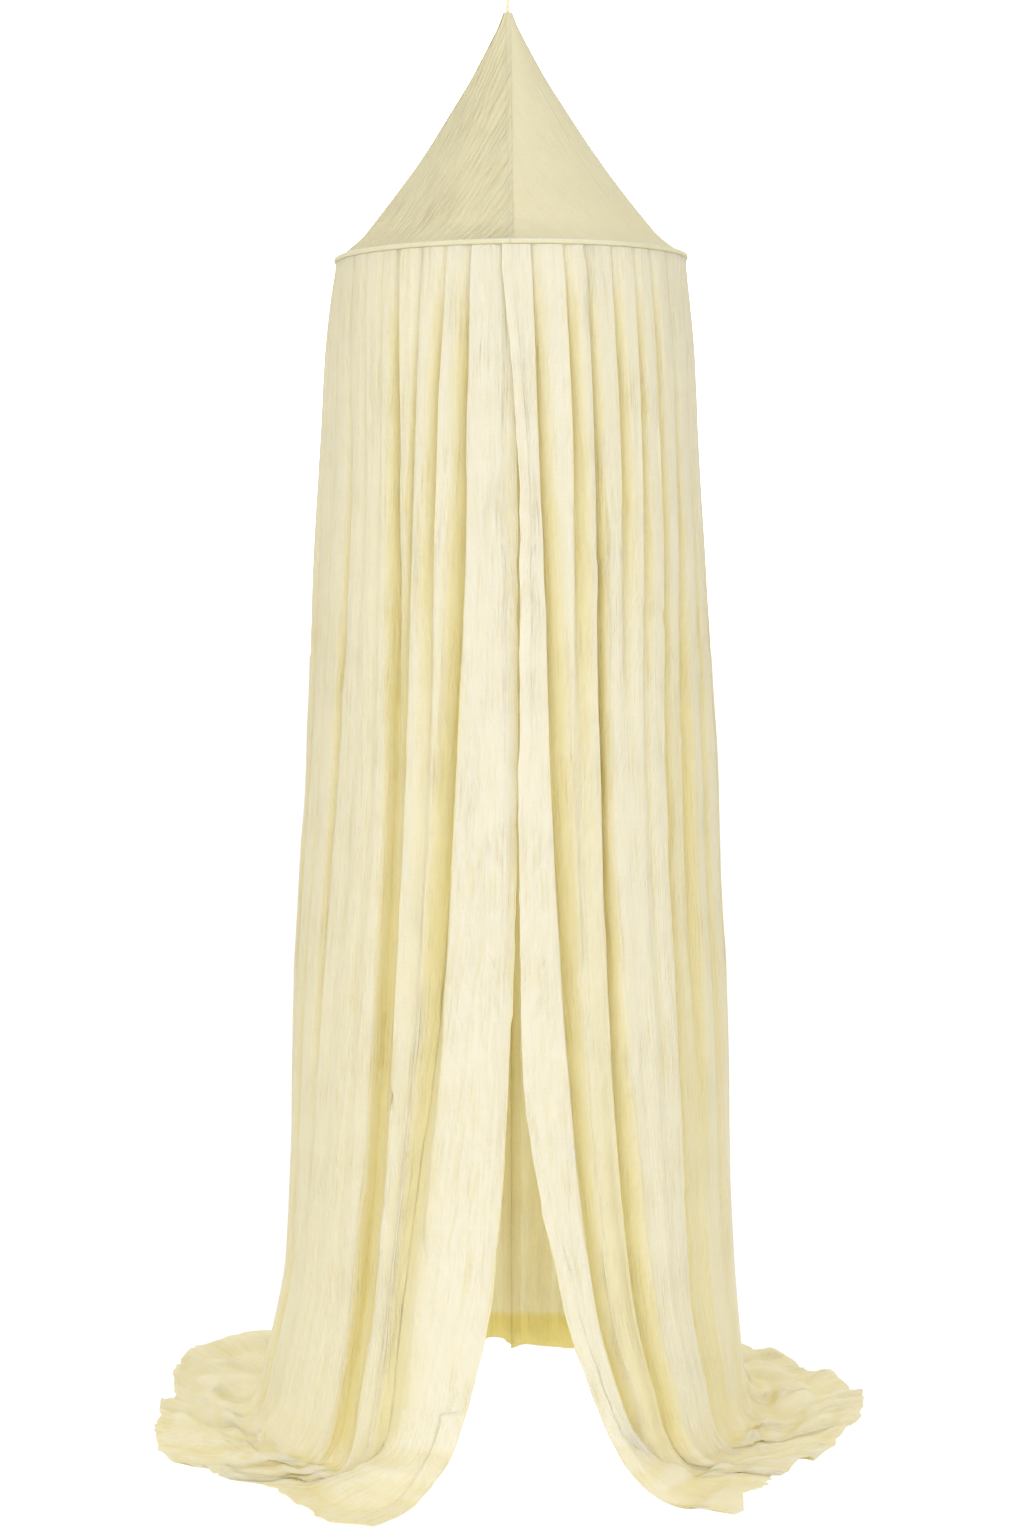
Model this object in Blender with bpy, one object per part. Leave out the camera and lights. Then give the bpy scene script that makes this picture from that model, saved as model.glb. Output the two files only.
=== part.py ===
"""Muslin bed canopy (mosquito net canopy) with its hoop: a coned top of four gores, a round hoop in a
cloth sleeve, and two pleated curtain halves that part at the front and spread on the floor."""

import math

import bpy
import numpy as np

# Sizes in metres. The origin is the top of the hanging loop, +Z is up and the front faces -Y.
# Heights in the tables are above the floor, and FLOOR_Z is the floor in this frame.
LOOP_TOP_HEIGHT = 2.066
FLOOR_Z = -LOOP_TOP_HEIGHT
HOOP_HEIGHT = 1.665
HOOP_RING_RADIUS = 0.246
HOOP_ROLL_DEG = 0.65
HOOP_SHIFT_X = 0.0046
HOOP_SEGMENTS = 48
ROLL_FADED_HEIGHT = 0.90
ROD_RADIUS = 0.0025
ROD_POINTS = 6
SLEEVE_INNER_RADIUS = 0.0031
SLEEVE_OUTER_RADIUS = 0.0042
SLEEVE_INNER_POINTS = 8
SLEEVE_OUTER_POINTS = 9
SLEEVE_SLOT_AT_DEG = 225.0
SLEEVE_SLOT_OUTER_DEG = 26.0
SLEEVE_SLOT_INNER_DEG = 31.2
GORE_THICKNESS = 0.0015
GORE_HOLLOW_SHARE = 0.0385
GORE_ROWS = 9
GORE_COLUMNS = 10
SEAM_GAP = 0.0004
TAPE_THICKNESS = 0.0012
TAPE_FOOT_GAP = 0.0006
TAPE_FOOT_CLOSED = 0.0030
CURTAIN_THICKNESS = 0.0020

# The curtain's crests lean toward the next fold near the sleeve, and stand upright by the last height.
CREST_LEAN = 0.36
LEAN_HEIGHTS = (1.66, 1.40, 1.05)
LEAN_SHARES = (0.9, 0.65, 0.0)

# Where the curtain turns from hanging to lying: it bends wide in front and close to the floor behind.
BEND_HEIGHT = 0.13
FRONT_BEND_LOW = 0.028
BACK_BEND_LOW = 0.003
FRONT_BEND_REACH = 0.42
BACK_BEND_REACH = 0.10
BEND_FRONT_Y = -0.064
BEND_BACK_Y = 0.32

# Folds in the lying cloth: they lie down by this share of its width, flat but for ridges.
POOL_FOLD_HEIGHT = 0.25
LYING_BY = 0.55
FLAT_SHARE = 0.3
POOL_RIDGE_SHARE = 0.75
HEM_RIDGE = 0.006

# Hanging loop of doubled tape: z, half the loop's depth, width of the tape.
LOOP_ROWS = (
    (-0.0720, 0.0014, 0.0056), (-0.0590, 0.0014, 0.0058), (-0.0540, 0.0016, 0.0058),
    (-0.0440, 0.0019, 0.0056), (-0.0350, 0.0030, 0.0055), (-0.0270, 0.0046, 0.0055),
    (-0.0190, 0.0062, 0.0055), (-0.0120, 0.0070, 0.0055), (-0.0060, 0.0062, 0.0055),
    (-0.0020, 0.0040, 0.0055), (0.0, 0.0, 0.0055),
)

# Silhouette of the cone: height above the floor, radius.
CONE_PROFILE = (
    (2.008, 0.0050), (1.990, 0.0120), (1.955, 0.0300), (1.915, 0.0520), (1.870, 0.0805),
    (1.820, 0.1130), (1.770, 0.1490), (1.725, 0.1840), (1.692, 0.2120), (1.674, 0.2345),
    (1.6690, 0.2434),
)

# Plan of the hanging cloth: height, then radius at the left, right, front and back.
WALL_PLAN = (
    (1.6605, 0.2470, 0.2470, 0.2475, 0.2475),
    (1.637, 0.2500, 0.2490, 0.2500, 0.2500),
    (1.600, 0.2550, 0.2530, 0.2530, 0.2530),
    (1.525, 0.2630, 0.2600, 0.2580, 0.2580),
    (1.400, 0.2710, 0.2660, 0.2660, 0.2650),
    (1.250, 0.2800, 0.2750, 0.2760, 0.2730),
    (1.100, 0.2860, 0.2850, 0.2860, 0.2800),
    (0.950, 0.2930, 0.2960, 0.2960, 0.2860),
    (0.800, 0.3035, 0.3010, 0.3060, 0.2920),
    (0.600, 0.3140, 0.3120, 0.3220, 0.2990),
    (0.400, 0.3190, 0.3160, 0.3380, 0.3050),
    (0.250, 0.3260, 0.3230, 0.3520, 0.3090),
    (0.130, 0.3480, 0.3330, 0.3680, 0.3120),
    (0.028, 0.3750, 0.3450, 0.3880, 0.3120),
)

# One row a fold valley, from the slit edge round to the back seam. Columns: name; degrees from the
# front centre at heights 1.65, 1.30, 0.95, 0.60, 0.25 and 0.03; valley depth in mm at the sleeve and
# at heights 1.45, 0.95 and 0.25; drop in mm of the crest after it at heights 0.95 and 0.25.
LEFT_FOLDS = (
    ("slit_edge", -1.6, -2.0, -1.8, 0.2, 4.5, 13.2, 6.5, 7.0, 8.0, 7.0, 0.0, 0.0),
    ("fold_1", 12.4, 12.7, 14.8, 18.8, 23.3, 33.5, 3.0, 8.0, 26.0, 34.0, 2.0, 2.0),
    ("fold_2", 20.4, 22.6, 23.0, 25.0, 28.0, 38.0, 3.0, 7.0, 6.0, 4.0, 0.0, 0.0),
    ("fold_3", 29.0, 28.8, 29.0, 30.4, 32.4, 42.0, 2.5, 4.0, 24.0, 27.0, 20.0, 22.0),
    ("fold_4", 37.0, 33.7, 33.6, 34.8, 36.8, 47.0, 3.0, 8.0, 27.0, 31.0, 0.0, 0.0),
    ("fold_5", 44.5, 40.8, 40.6, 42.6, 45.0, 53.5, 2.5, 3.0, 3.0, 4.0, 1.0, 0.0),
    ("fold_6", 52.5, 46.8, 47.6, 50.4, 53.8, 60.5, 2.5, 3.5, 4.0, 9.0, 1.0, 0.0),
    ("fold_7", 60.3, 53.0, 55.0, 58.2, 62.5, 68.5, 3.0, 8.0, 20.0, 5.0, 0.0, 1.0),
    ("fold_8", 68.5, 63.5, 66.0, 69.0, 73.0, 78.0, 3.0, 4.0, 8.0, 17.0, 2.0, 0.0),
    ("fold_9", 77.0, 74.5, 77.0, 80.0, 84.0, 88.5, 3.0, 5.0, 13.0, 6.0, 0.0, 2.0),
    ("fold_10", 86.0, 86.5, 88.5, 91.5, 95.0, 99.5, 3.0, 5.0, 8.0, 20.0, 0.0, 0.0),
    ("fold_11", 96.0, 97.0, 100.5, 102.5, 106.0, 109.5, 3.0, 6.0, 20.0, 8.0, 3.0, 1.0),
    ("fold_12", 105.0, 109.0, 111.0, 114.5, 117.0, 121.5, 3.0, 5.0, 9.0, 22.0, 0.0, 0.0),
    ("fold_13", 116.0, 119.0, 123.5, 125.0, 128.0, 131.0, 3.0, 6.0, 23.0, 28.0, 1.0, 3.0),
    ("fold_14", 126.0, 131.0, 132.5, 135.5, 139.0, 142.5, 3.0, 6.0, 10.0, 8.0, 0.0, 0.0),
    ("fold_15", 137.0, 141.0, 144.5, 147.0, 149.0, 152.0, 3.0, 5.0, 22.0, 27.0, 2.0, 0.0),
    ("fold_16", 147.5, 153.0, 155.0, 157.5, 159.5, 161.5, 3.0, 6.0, 12.0, 14.0, 0.0, 2.0),
    ("fold_17", 159.0, 164.5, 167.0, 169.0, 169.0, 171.0, 3.0, 5.0, 20.0, 9.0, 3.0, 0.0),
    ("back_seam", 180.0, 180.0, 180.0, 180.0, 180.0, 180.0, 3.0, 6.0, 12.0, 15.0, 0.0, 0.0),
)
RIGHT_FOLDS = (
    ("slit_edge", -2.7, 3.3, 2.9, 3.2, 11.8, 23.8, 0.0, 1.0, 3.0, 4.0, 0.0, 0.0),
    ("fold_1", 6.4, 9.0, 10.7, 13.6, 19.6, 30.5, 3.0, 8.0, 22.0, 26.0, 0.0, 0.0),
    ("fold_2", 16.3, 19.0, 19.2, 20.4, 26.6, 37.0, 3.0, 8.0, 6.0, 4.0, 2.0, 2.0),
    ("fold_3", 23.7, 25.4, 24.8, 26.0, 32.5, 44.0, 3.0, 11.0, 34.0, 34.0, 0.0, 0.0),
    ("fold_4", 32.7, 34.6, 33.0, 34.2, 38.6, 48.5, 3.0, 8.0, 4.0, 4.0, 0.0, 0.0),
    ("fold_5", 41.4, 42.2, 39.6, 40.6, 44.2, 53.0, 3.0, 7.0, 4.0, 5.0, 2.0, 2.0),
    ("fold_6", 49.3, 49.9, 46.2, 46.8, 49.8, 58.5, 3.0, 9.0, 31.0, 35.0, 6.0, 7.0),
    ("fold_7", 59.4, 59.2, 56.6, 57.6, 60.0, 68.0, 3.0, 7.0, 16.0, 12.0, 2.0, 2.0),
    ("fold_8", 69.0, 69.4, 67.6, 69.0, 71.5, 78.0, 3.0, 7.0, 9.0, 18.0, 0.0, 0.0),
    ("fold_9", 79.0, 79.8, 78.8, 80.8, 82.5, 88.0, 3.0, 5.0, 13.0, 6.0, 0.0, 1.0),
    ("fold_10", 88.5, 90.0, 90.6, 92.0, 94.0, 98.5, 3.0, 5.0, 9.0, 16.0, 1.0, 0.0),
    ("fold_11", 98.0, 101.5, 101.5, 104.5, 106.0, 110.5, 3.0, 6.0, 19.0, 9.0, 0.0, 2.0),
    ("fold_12", 109.0, 111.5, 114.5, 115.5, 118.0, 121.0, 3.0, 5.0, 8.0, 24.0, 2.0, 0.0),
    ("fold_13", 119.0, 123.0, 124.0, 128.0, 129.5, 133.0, 3.0, 6.0, 21.0, 18.0, 0.0, 2.0),
    ("fold_14", 130.5, 133.0, 137.0, 138.5, 140.5, 143.0, 3.0, 6.0, 11.0, 7.0, 3.0, 0.0),
    ("fold_15", 141.0, 145.5, 147.0, 150.0, 151.5, 154.0, 3.0, 5.0, 22.0, 25.0, 0.0, 1.0),
    ("fold_16", 152.5, 156.0, 158.5, 160.5, 161.0, 162.5, 3.0, 6.0, 9.0, 13.0, 2.0, 0.0),
    ("fold_17", 165.0, 168.0, 169.5, 171.0, 170.5, 171.5, 3.0, 5.0, 19.0, 10.0, 0.0, 1.0),
    ("back_seam", 180.0, 180.0, 180.0, 180.0, 180.0, 180.0, 3.0, 6.0, 12.0, 15.0, 0.0, 0.0),
)
ANGLE_HEIGHTS = (1.65, 1.30, 0.95, 0.60, 0.25, 0.03)
DEPTH_HEIGHTS = (1.6605, 1.45, 0.95, 0.25)

# The hem on the floor, one row a point: fold number along the cloth, x out to its own side, y back.
LEFT_HEM = (
    (0.00, 0.178, -0.472), (0.22, 0.222, -0.460), (0.52, 0.290, -0.384), (0.84, 0.362, -0.296),
    (1.00, 0.388, -0.290), (1.60, 0.400, -0.276), (2.30, 0.411, -0.252), (3.00, 0.431, -0.239),
    (4.00, 0.465, -0.224), (4.60, 0.486, -0.184), (5.00, 0.498, -0.140), (6.00, 0.512, -0.045),
    (7.00, 0.511, 0.036), (8.00, 0.502, 0.094), (9.00, 0.514, 0.172), (10.00, 0.513, 0.252),
    (11.00, 0.486, 0.338), (12.00, 0.426, 0.408), (13.00, 0.352, 0.444), (14.00, 0.282, 0.482),
    (15.00, 0.214, 0.470), (16.00, 0.142, 0.498), (17.00, 0.074, 0.478), (18.00, 0.000, 0.486),
)
RIGHT_HEM = (
    (0.00, 0.236, -0.414), (0.22, 0.290, -0.442), (0.52, 0.312, -0.388), (0.84, 0.342, -0.332),
    (1.00, 0.357, -0.284), (1.52, 0.378, -0.274), (2.22, 0.394, -0.240), (3.00, 0.424, -0.216),
    (4.00, 0.444, -0.171), (5.00, 0.466, -0.118), (6.00, 0.492, -0.052), (7.00, 0.519, 0.040),
    (8.00, 0.520, 0.088), (9.00, 0.508, 0.118), (10.00, 0.480, 0.186), (11.00, 0.446, 0.230),
    (12.00, 0.424, 0.306), (13.00, 0.386, 0.326), (14.00, 0.330, 0.398), (15.00, 0.262, 0.452),
    (16.00, 0.178, 0.452), (17.00, 0.084, 0.480), (18.00, 0.000, 0.486),
)

# Where the sheet has points: shares of the way across a fold, for the first folds and the rest, then
# heights down the wall, and places down the lying cloth, 0 where it starts to bend and 1 at its hem.
FRONT_FOLDS = 9
FRONT_STEPS = (0.0, 0.22, 0.52, 0.84)
BACK_STEPS = (0.0, 0.36, 0.80)
WALL_ROWS = (
    1.6605, 1.645, 1.615, 1.565, 1.49, 1.40, 1.30, 1.20, 1.09, 0.98, 0.87, 0.76, 0.65, 0.54,
    0.43, 0.33, 0.24, 0.17,
)
POOL_ROWS = (0.0, 0.15, 0.30, 0.45, 0.60, 0.75, 0.89, 1.0)


def clear_scene():
    for item in list(bpy.data.objects):
        bpy.data.objects.remove(item)


def material(name, colour, roughness):
    made = bpy.data.materials.new(name)
    made.use_nodes = True
    shader = made.node_tree.nodes["Principled BSDF"]
    shader.inputs["Base Color"].default_value = (*colour, 1.0)
    shader.inputs["Roughness"].default_value = roughness
    return made


def add_object(name, points, faces, slot):
    mesh = bpy.data.meshes.new(name)
    mesh.from_pydata([tuple(map(float, p)) for p in points], [], [tuple(map(int, f)) for f in faces])
    mesh.materials.append(slot)
    mesh.update()
    made = bpy.data.objects.new(name, mesh)
    bpy.context.scene.collection.objects.link(made)
    return made


def smooth_at(x, xs, ys):
    """Monotone cubic through (xs, ys), rising or falling xs, held level past both ends."""
    xs = np.asarray(xs, float)
    ys = np.asarray(ys, float)
    if xs[0] > xs[-1]:
        xs, ys = xs[::-1], ys[::-1]
    steps = np.diff(xs)
    slopes = np.diff(ys) / steps
    before, after = slopes[:-1], slopes[1:]
    level = before * after <= 0
    mean = 2 * before * after / np.where(level, 1.0, before + after)
    ends = np.concatenate([[slopes[0]], np.where(level, 0.0, mean), [slopes[-1]]])
    x = np.clip(x, xs[0], xs[-1])
    i = np.clip(np.searchsorted(xs, x) - 1, 0, len(steps) - 1)
    t = (x - xs[i]) / steps[i]
    a = ys[i] * (1 + 2 * t) * (1 - t) ** 2 + ends[i] * steps[i] * t * (1 - t) ** 2
    b = ys[i + 1] * t * t * (3 - 2 * t) - ends[i + 1] * steps[i] * t * t * (1 - t)
    return a + b


def hoop_point(angle, radius, rise):
    """A point beside the hoop at this angle from the front, with the hoop's roll."""
    x = radius * math.sin(angle)
    y = -radius * math.cos(angle)
    roll = math.tan(math.radians(HOOP_ROLL_DEG)) * x
    return x + HOOP_SHIFT_X, y, FLOOR_Z + HOOP_HEIGHT + rise + roll


def ring_object(name, profile, slot):
    """A closed profile of (radial, up) offsets from the hoop's centre line, swept round the hoop."""
    points = []
    for i in range(HOOP_SEGMENTS):
        angle = 2 * math.pi * i / HOOP_SEGMENTS
        points += [hoop_point(angle, HOOP_RING_RADIUS + out, up) for out, up in profile]
    count = len(profile)
    faces = []
    for i in range(HOOP_SEGMENTS):
        j = (i + 1) % HOOP_SEGMENTS
        for k in range(count):
            m = (k + 1) % count
            faces.append((i * count + k, j * count + k, j * count + m, i * count + m))
    return add_object(name, points, faces, slot)


def arc(radius, start, end, count):
    """Points on a circle from one angle to another, in degrees."""
    angles = np.radians(np.linspace(start, end, count))
    return [(radius * math.cos(a), radius * math.sin(a)) for a in angles]


def hoop(slot):
    """The round rod, bent into a full ring."""
    profile = arc(ROD_RADIUS, 0, 360 - 360 / ROD_POINTS, ROD_POINTS)
    return ring_object("hoop", profile, slot)


def hoop_sleeve(slot):
    """The cloth channel round the hoop, a tube with its edges a slot apart, inward and below."""
    start = SLEEVE_SLOT_AT_DEG
    end = start + 360
    half = SLEEVE_SLOT_OUTER_DEG / 2
    outer = arc(SLEEVE_OUTER_RADIUS, start + half, end - half, SLEEVE_OUTER_POINTS)
    half = SLEEVE_SLOT_INNER_DEG / 2
    inner = arc(SLEEVE_INNER_RADIUS, end - half, start + half, SLEEVE_INNER_POINTS)
    return ring_object("hoop_sleeve", outer + inner, slot)


def sheet_object(name, outer, inner, slot):
    """Closes two grids of rows and columns, outer and inner, into one thin solid."""
    rows, columns = outer.shape[:2]
    points = np.concatenate([outer.reshape(-1, 3), inner.reshape(-1, 3)])
    under = rows * columns
    faces = []
    for r in range(rows - 1):
        for c in range(columns - 1):
            a, b = r * columns + c, r * columns + c + 1
            d, e = a + columns, b + columns
            faces.append((a, d, e, b))
            faces.append((under + a, under + b, under + e, under + d))
    rim = [(0, c) for c in range(columns)] + [(r, columns - 1) for r in range(1, rows)]
    rim += [(rows - 1, c) for c in range(columns - 2, -1, -1)] + [(r, 0) for r in range(rows - 2, 0, -1)]
    loop = [r * columns + c for r, c in rim]
    for a, b in zip(loop, loop[1:] + loop[:1]):
        faces.append((a, b, under + b, under + a))
    return add_object(name, points, faces, slot)


def grid_normals(grid, sign):
    """Unit normals of a grid of rows and columns."""
    along = np.gradient(grid, axis=1)
    down = np.gradient(grid, axis=0)
    normal = np.cross(down, along) * sign
    return normal / np.linalg.norm(normal, axis=2, keepdims=True)


def top_panel(name, start_deg, slot):
    """One gore of the cone, a quarter of the way round, drawn in a little between its seams."""
    profile = np.array(CONE_PROFILE)
    steps = np.linspace(0.0, 1.0, GORE_COLUMNS)
    down = np.linspace(0, len(profile) - 1, GORE_ROWS)
    heights, radii = (smooth_at(down, np.arange(len(profile)), column) for column in profile.T)
    start = math.radians(start_deg)
    outer = np.zeros((GORE_ROWS, GORE_COLUMNS, 3))
    for r, (height, radius) in enumerate(zip(heights, radii)):
        near_hoop = (heights[0] - height) / (heights[0] - heights[-1])
        margin = SEAM_GAP / 2 / radius
        hollow = GORE_HOLLOW_SHARE * radius * math.sin(math.pi * near_hoop)
        for c, step in enumerate(steps):
            angle = start + margin + step * (math.pi / 2 - 2 * margin)
            drawn = radius - hollow * math.sin(math.pi * step) ** 2
            x = drawn * math.sin(angle)
            roll = math.tan(math.radians(HOOP_ROLL_DEG)) * x * near_hoop
            shift = HOOP_SHIFT_X * near_hoop
            outer[r, c] = (x + shift, -drawn * math.cos(angle), FLOOR_Z + height + roll)
    inner = outer - GORE_THICKNESS * grid_normals(outer, 1.0)
    for c, side in ((0, start), (-1, start + math.pi / 2)):
        across_seam = np.array([math.cos(side), math.sin(side), 0.0])
        drift = (inner[:, c] - outer[:, c]) @ across_seam
        inner[:, c] -= drift[:, None] * across_seam
    inner[-1, :, 2] = outer[-1, :, 2]
    return sheet_object(name, outer, inner, slot)


def hanging_loop(slot):
    """A narrow tape doubled into a loop: its foot sits in the tip of the cone, its top is the origin."""
    right = [(half, z, width) for z, half, width in LOOP_ROWS]
    outline = right + [(-half, z, width) for half, z, width in right[-2::-1]]
    centre = np.array([(y, z) for y, z, _ in outline])
    run = np.roll(centre, -1, axis=0) - np.roll(centre, 1, axis=0)
    side = np.stack([-run[:, 1], run[:, 0]], axis=1)
    side /= np.linalg.norm(side, axis=1, keepdims=True)
    hole = centre + side * TAPE_THICKNESS
    hole[:2, 0] = TAPE_FOOT_GAP / 2
    hole[-2:, 0] = -TAPE_FOOT_GAP / 2
    hole[0, 1] = hole[-1, 1] = centre[0, 1] + TAPE_FOOT_CLOSED
    points = []
    for (y, z, width), (hole_y, hole_z) in zip(outline, hole):
        half = width / 2
        points += [(-half, y, z), (half, y, z), (half, hole_y, hole_z), (-half, hole_y, hole_z)]
    faces = []
    for i in range(len(outline)):
        j = (i + 1) % len(outline)
        for k in range(4):
            m = (k + 1) % 4
            faces.append((i * 4 + k, j * 4 + k, j * 4 + m, i * 4 + m))
    return add_object("hanging_loop", points, faces, slot)


def valley(x):
    """Fall from a crest, x = 0, to a valley, x = 1: round at the crest, tighter in the valley."""
    return 0.55 * x * x + 0.45 * x * x * (3 - 2 * x)


def fold_values(folds, height):
    """Angles, depths and crest drops of all the folds at one height, angles in radians, the rest in m."""
    table = np.array([row[1:] for row in folds], float)
    angles = np.array([smooth_at(height, ANGLE_HEIGHTS, row[0:6]) for row in table])
    depths = np.array([smooth_at(height, DEPTH_HEIGHTS, row[6:10]) for row in table])
    drops = np.array([smooth_at(height, DEPTH_HEIGHTS, (0.0, 0.0, row[10], row[11])) for row in table])
    return np.radians(angles), depths / 1000, drops / 1000


def across(values, at):
    """A value of the folds carried across the cloth, at = 2.5 halfway between the third and fourth."""
    return smooth_at(at, np.arange(len(values)), values)


def relief(depths, drops, at, lean):
    """How far the cloth stands below its crest line, with crests that lean toward the next fold."""
    first = np.clip(np.floor(at).astype(int), 0, len(depths) - 2)
    part = at - first
    crest = 0.5 + CREST_LEAN * lean
    near = valley(np.clip(1 - part / crest, 0, 1))
    far = valley(np.clip((part - crest) / (1 - crest), 0, 1))
    drop = drops[first]
    return -(drop + (depths[first] - drop) * near + (depths[first + 1] - drop) * far)


def wall_radius(height, angles, side):
    """Distance of the crest line from the middle at one height, by angle from the front."""
    plan = np.array(WALL_PLAN)
    flank = smooth_at(height, plan[:, 0], plan[:, 1 if side < 0 else 2])
    front = smooth_at(height, plan[:, 0], plan[:, 3])
    back = smooth_at(height, plan[:, 0], plan[:, 4])
    turn = np.cos(angles)
    return flank + (np.where(turn > 0, front, back) - flank) * turn * turn


def wall_line(folds, at, height, side, flat):
    """The cloth's crest surface, or with flat False its folded surface, round one height."""
    angles, depths, drops = fold_values(folds, height)
    theta = across(angles, at)
    radius = wall_radius(height, theta, side)
    if not flat:
        lean = smooth_at(height, LEAN_HEIGHTS, LEAN_SHARES)
        radius = radius + relief(depths, drops, at, lean)
    near_hoop = smooth_at(height, (HOOP_HEIGHT, ROLL_FADED_HEIGHT), (1.0, 0.0))
    x = side * radius * np.sin(theta)
    roll = math.tan(math.radians(HOOP_ROLL_DEG)) * x * near_hoop
    z = np.full_like(x, height) + roll
    return np.stack([x + HOOP_SHIFT_X, -radius * np.cos(theta), z], axis=1)


def curtain(name, folds, hem_line, side, slot):
    """One half of the hanging cloth, from the slit at the front round to the seam at the back."""
    at = [k + s for k in range(FRONT_FOLDS) for s in FRONT_STEPS]
    at += [k + s for k in range(FRONT_FOLDS, len(folds) - 1) for s in BACK_STEPS]
    at = np.array(at + [len(folds) - 1.0])
    wall = np.array([wall_line(folds, at, height, side, False) for height in WALL_ROWS])
    above, start, front, back = (
        wall_line(folds, at, height, side, True)
        for height in (WALL_ROWS[-1], BEND_HEIGHT, FRONT_BEND_LOW, BACK_BEND_LOW)
    )
    rear = np.interp(front[:, 1:2], (BEND_FRONT_Y, BEND_BACK_Y), (0.0, 1.0))
    below = front + (back - front) * rear
    reach = FRONT_BEND_REACH + (BACK_BEND_REACH - FRONT_BEND_REACH) * rear
    number, hem_out, hem_back = np.array(hem_line).T
    hem_x = side * smooth_at(at, number, hem_out) + HOOP_SHIFT_X
    hem = np.stack([hem_x, smooth_at(at, number, hem_back), np.zeros(len(at))], axis=1)
    lay = below + reach * (hem - below)
    lay[:, 2] = 0.0
    flat = [above]
    for t in POOL_ROWS:
        hanging = start * (1 - t) ** 3 + below * 3 * t * (1 - t) ** 2
        flat.append(hanging + lay * 3 * t * t * (1 - t) + hem * t ** 3)
    flat = np.array(flat)
    normal = grid_normals(flat, side)
    _, depths, drops = fold_values(folds, POOL_FOLD_HEIGHT)
    shape = relief(depths, drops, at, 0.0)
    level = np.interp(at, np.arange(len(depths)), depths)
    ridge = np.maximum(shape + level * (1 - FLAT_SHARE), 0.0) / (1 - FLAT_SHARE)
    even = np.full(len(depths), HEM_RIDGE)
    wave = np.maximum(relief(even, 0 * even, at, 0.0) + HEM_RIDGE * (1 - FLAT_SHARE), 0.0)
    pool = flat[1:]
    for r, t in enumerate(POOL_ROWS):
        lying = smooth_at(t, (0.0, LYING_BY), (0.0, 1.0))
        raised = ridge * POOL_RIDGE_SHARE * (1 - t) + wave * t
        pool[r] += normal[r + 1] * (shape * (1 - lying) + raised * lying)[:, None]
    outer = np.concatenate([wall, pool])
    normal = grid_normals(outer, side)
    normal[0, :, 2] = 0.0
    inner = outer - CURTAIN_THICKNESS * normal
    inner[:, :, 2] = np.maximum(inner[:, :, 2], 0.0)
    on_floor = inner[:, :, 2] + CURTAIN_THICKNESS * np.abs(normal[:, :, 2])
    outer[:, :, 2] = np.maximum(outer[:, :, 2], on_floor)
    for grid in (outer, inner):
        grid[:, -1, 0] = HOOP_SHIFT_X + side * SEAM_GAP / 2
        grid[:, :, 2] += FLOOR_Z
    faces_out = (outer, inner) if side > 0 else (inner, outer)
    return sheet_object(name, *faces_out, slot)


def build():
    clear_scene()
    top_cloth = material("top_cloth", (0.73, 0.66, 0.42), 0.9)
    curtain_cloth = material("curtain_cloth", (0.84, 0.77, 0.50), 0.9)
    hoop_plastic = material("hoop_plastic", (0.85, 0.84, 0.80), 0.5)
    hanging_loop(top_cloth.copy())
    for name, start in (("right_front", 0), ("right_back", 90), ("left_back", 180), ("left_front", 270)):
        top_panel("top_panel_" + name, start, top_cloth.copy())
    hoop(hoop_plastic)
    hoop_sleeve(curtain_cloth.copy())
    curtain("curtain_left", LEFT_FOLDS, LEFT_HEM, -1, curtain_cloth.copy())
    curtain("curtain_right", RIGHT_FOLDS, RIGHT_HEM, 1, curtain_cloth.copy())


build()
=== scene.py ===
import math

import bpy
import numpy as np
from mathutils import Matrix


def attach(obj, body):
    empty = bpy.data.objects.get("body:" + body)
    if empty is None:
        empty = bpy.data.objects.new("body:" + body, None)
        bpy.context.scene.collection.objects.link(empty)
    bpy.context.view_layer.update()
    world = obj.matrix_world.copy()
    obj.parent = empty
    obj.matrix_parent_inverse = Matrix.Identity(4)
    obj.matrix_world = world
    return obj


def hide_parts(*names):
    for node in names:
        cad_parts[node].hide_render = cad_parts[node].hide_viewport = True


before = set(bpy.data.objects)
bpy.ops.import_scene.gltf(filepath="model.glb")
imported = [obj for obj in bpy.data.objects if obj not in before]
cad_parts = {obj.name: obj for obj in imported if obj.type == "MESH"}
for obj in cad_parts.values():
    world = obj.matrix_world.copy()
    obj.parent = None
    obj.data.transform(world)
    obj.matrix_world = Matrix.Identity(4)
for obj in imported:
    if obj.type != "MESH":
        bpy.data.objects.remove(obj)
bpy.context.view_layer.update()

# ---------------------------------------------------------------------------------------------
# Studio
# A lit white floor that runs into a white surround, as for a catalogue picture. The surround is
# brightest behind, so that it shines through the cloth, bright in front and darker overhead. A broad
# soft lamp stands on each side of the camera and a low one before it.
FLOOR_Z = -2.066
FLOOR_SIZE = 60.0
FLOOR_DROP = 0.0004
FLOOR_GLOW = 1.08
CAMERA_AT = (0.006, -4.0, -0.812)
CAMERA_TILT_DEG = 85.59
CAMERA_LENS_MM = 65.65


def hex_colour(text):
    """An sRGB hex value as a linear colour."""
    parts = [int(text[i:i + 2], 16) / 255 for i in (0, 2, 4)]
    return (*[p / 12.92 if p <= 0.04045 else ((p + 0.055) / 1.055) ** 2.4 for p in parts], 1.0)


def node(tree, kind, inputs=None, **settings):
    """Adds a node with its settings. An input is a number, a colour or another node's output."""
    made = tree.nodes.new(kind)
    for name, value in settings.items():
        setattr(made, name, value)
    for socket, value in (inputs or {}).items():
        if isinstance(value, bpy.types.NodeSocket):
            tree.links.new(value, made.inputs[socket])
        else:
            made.inputs[socket].default_value = value
    return made


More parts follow.
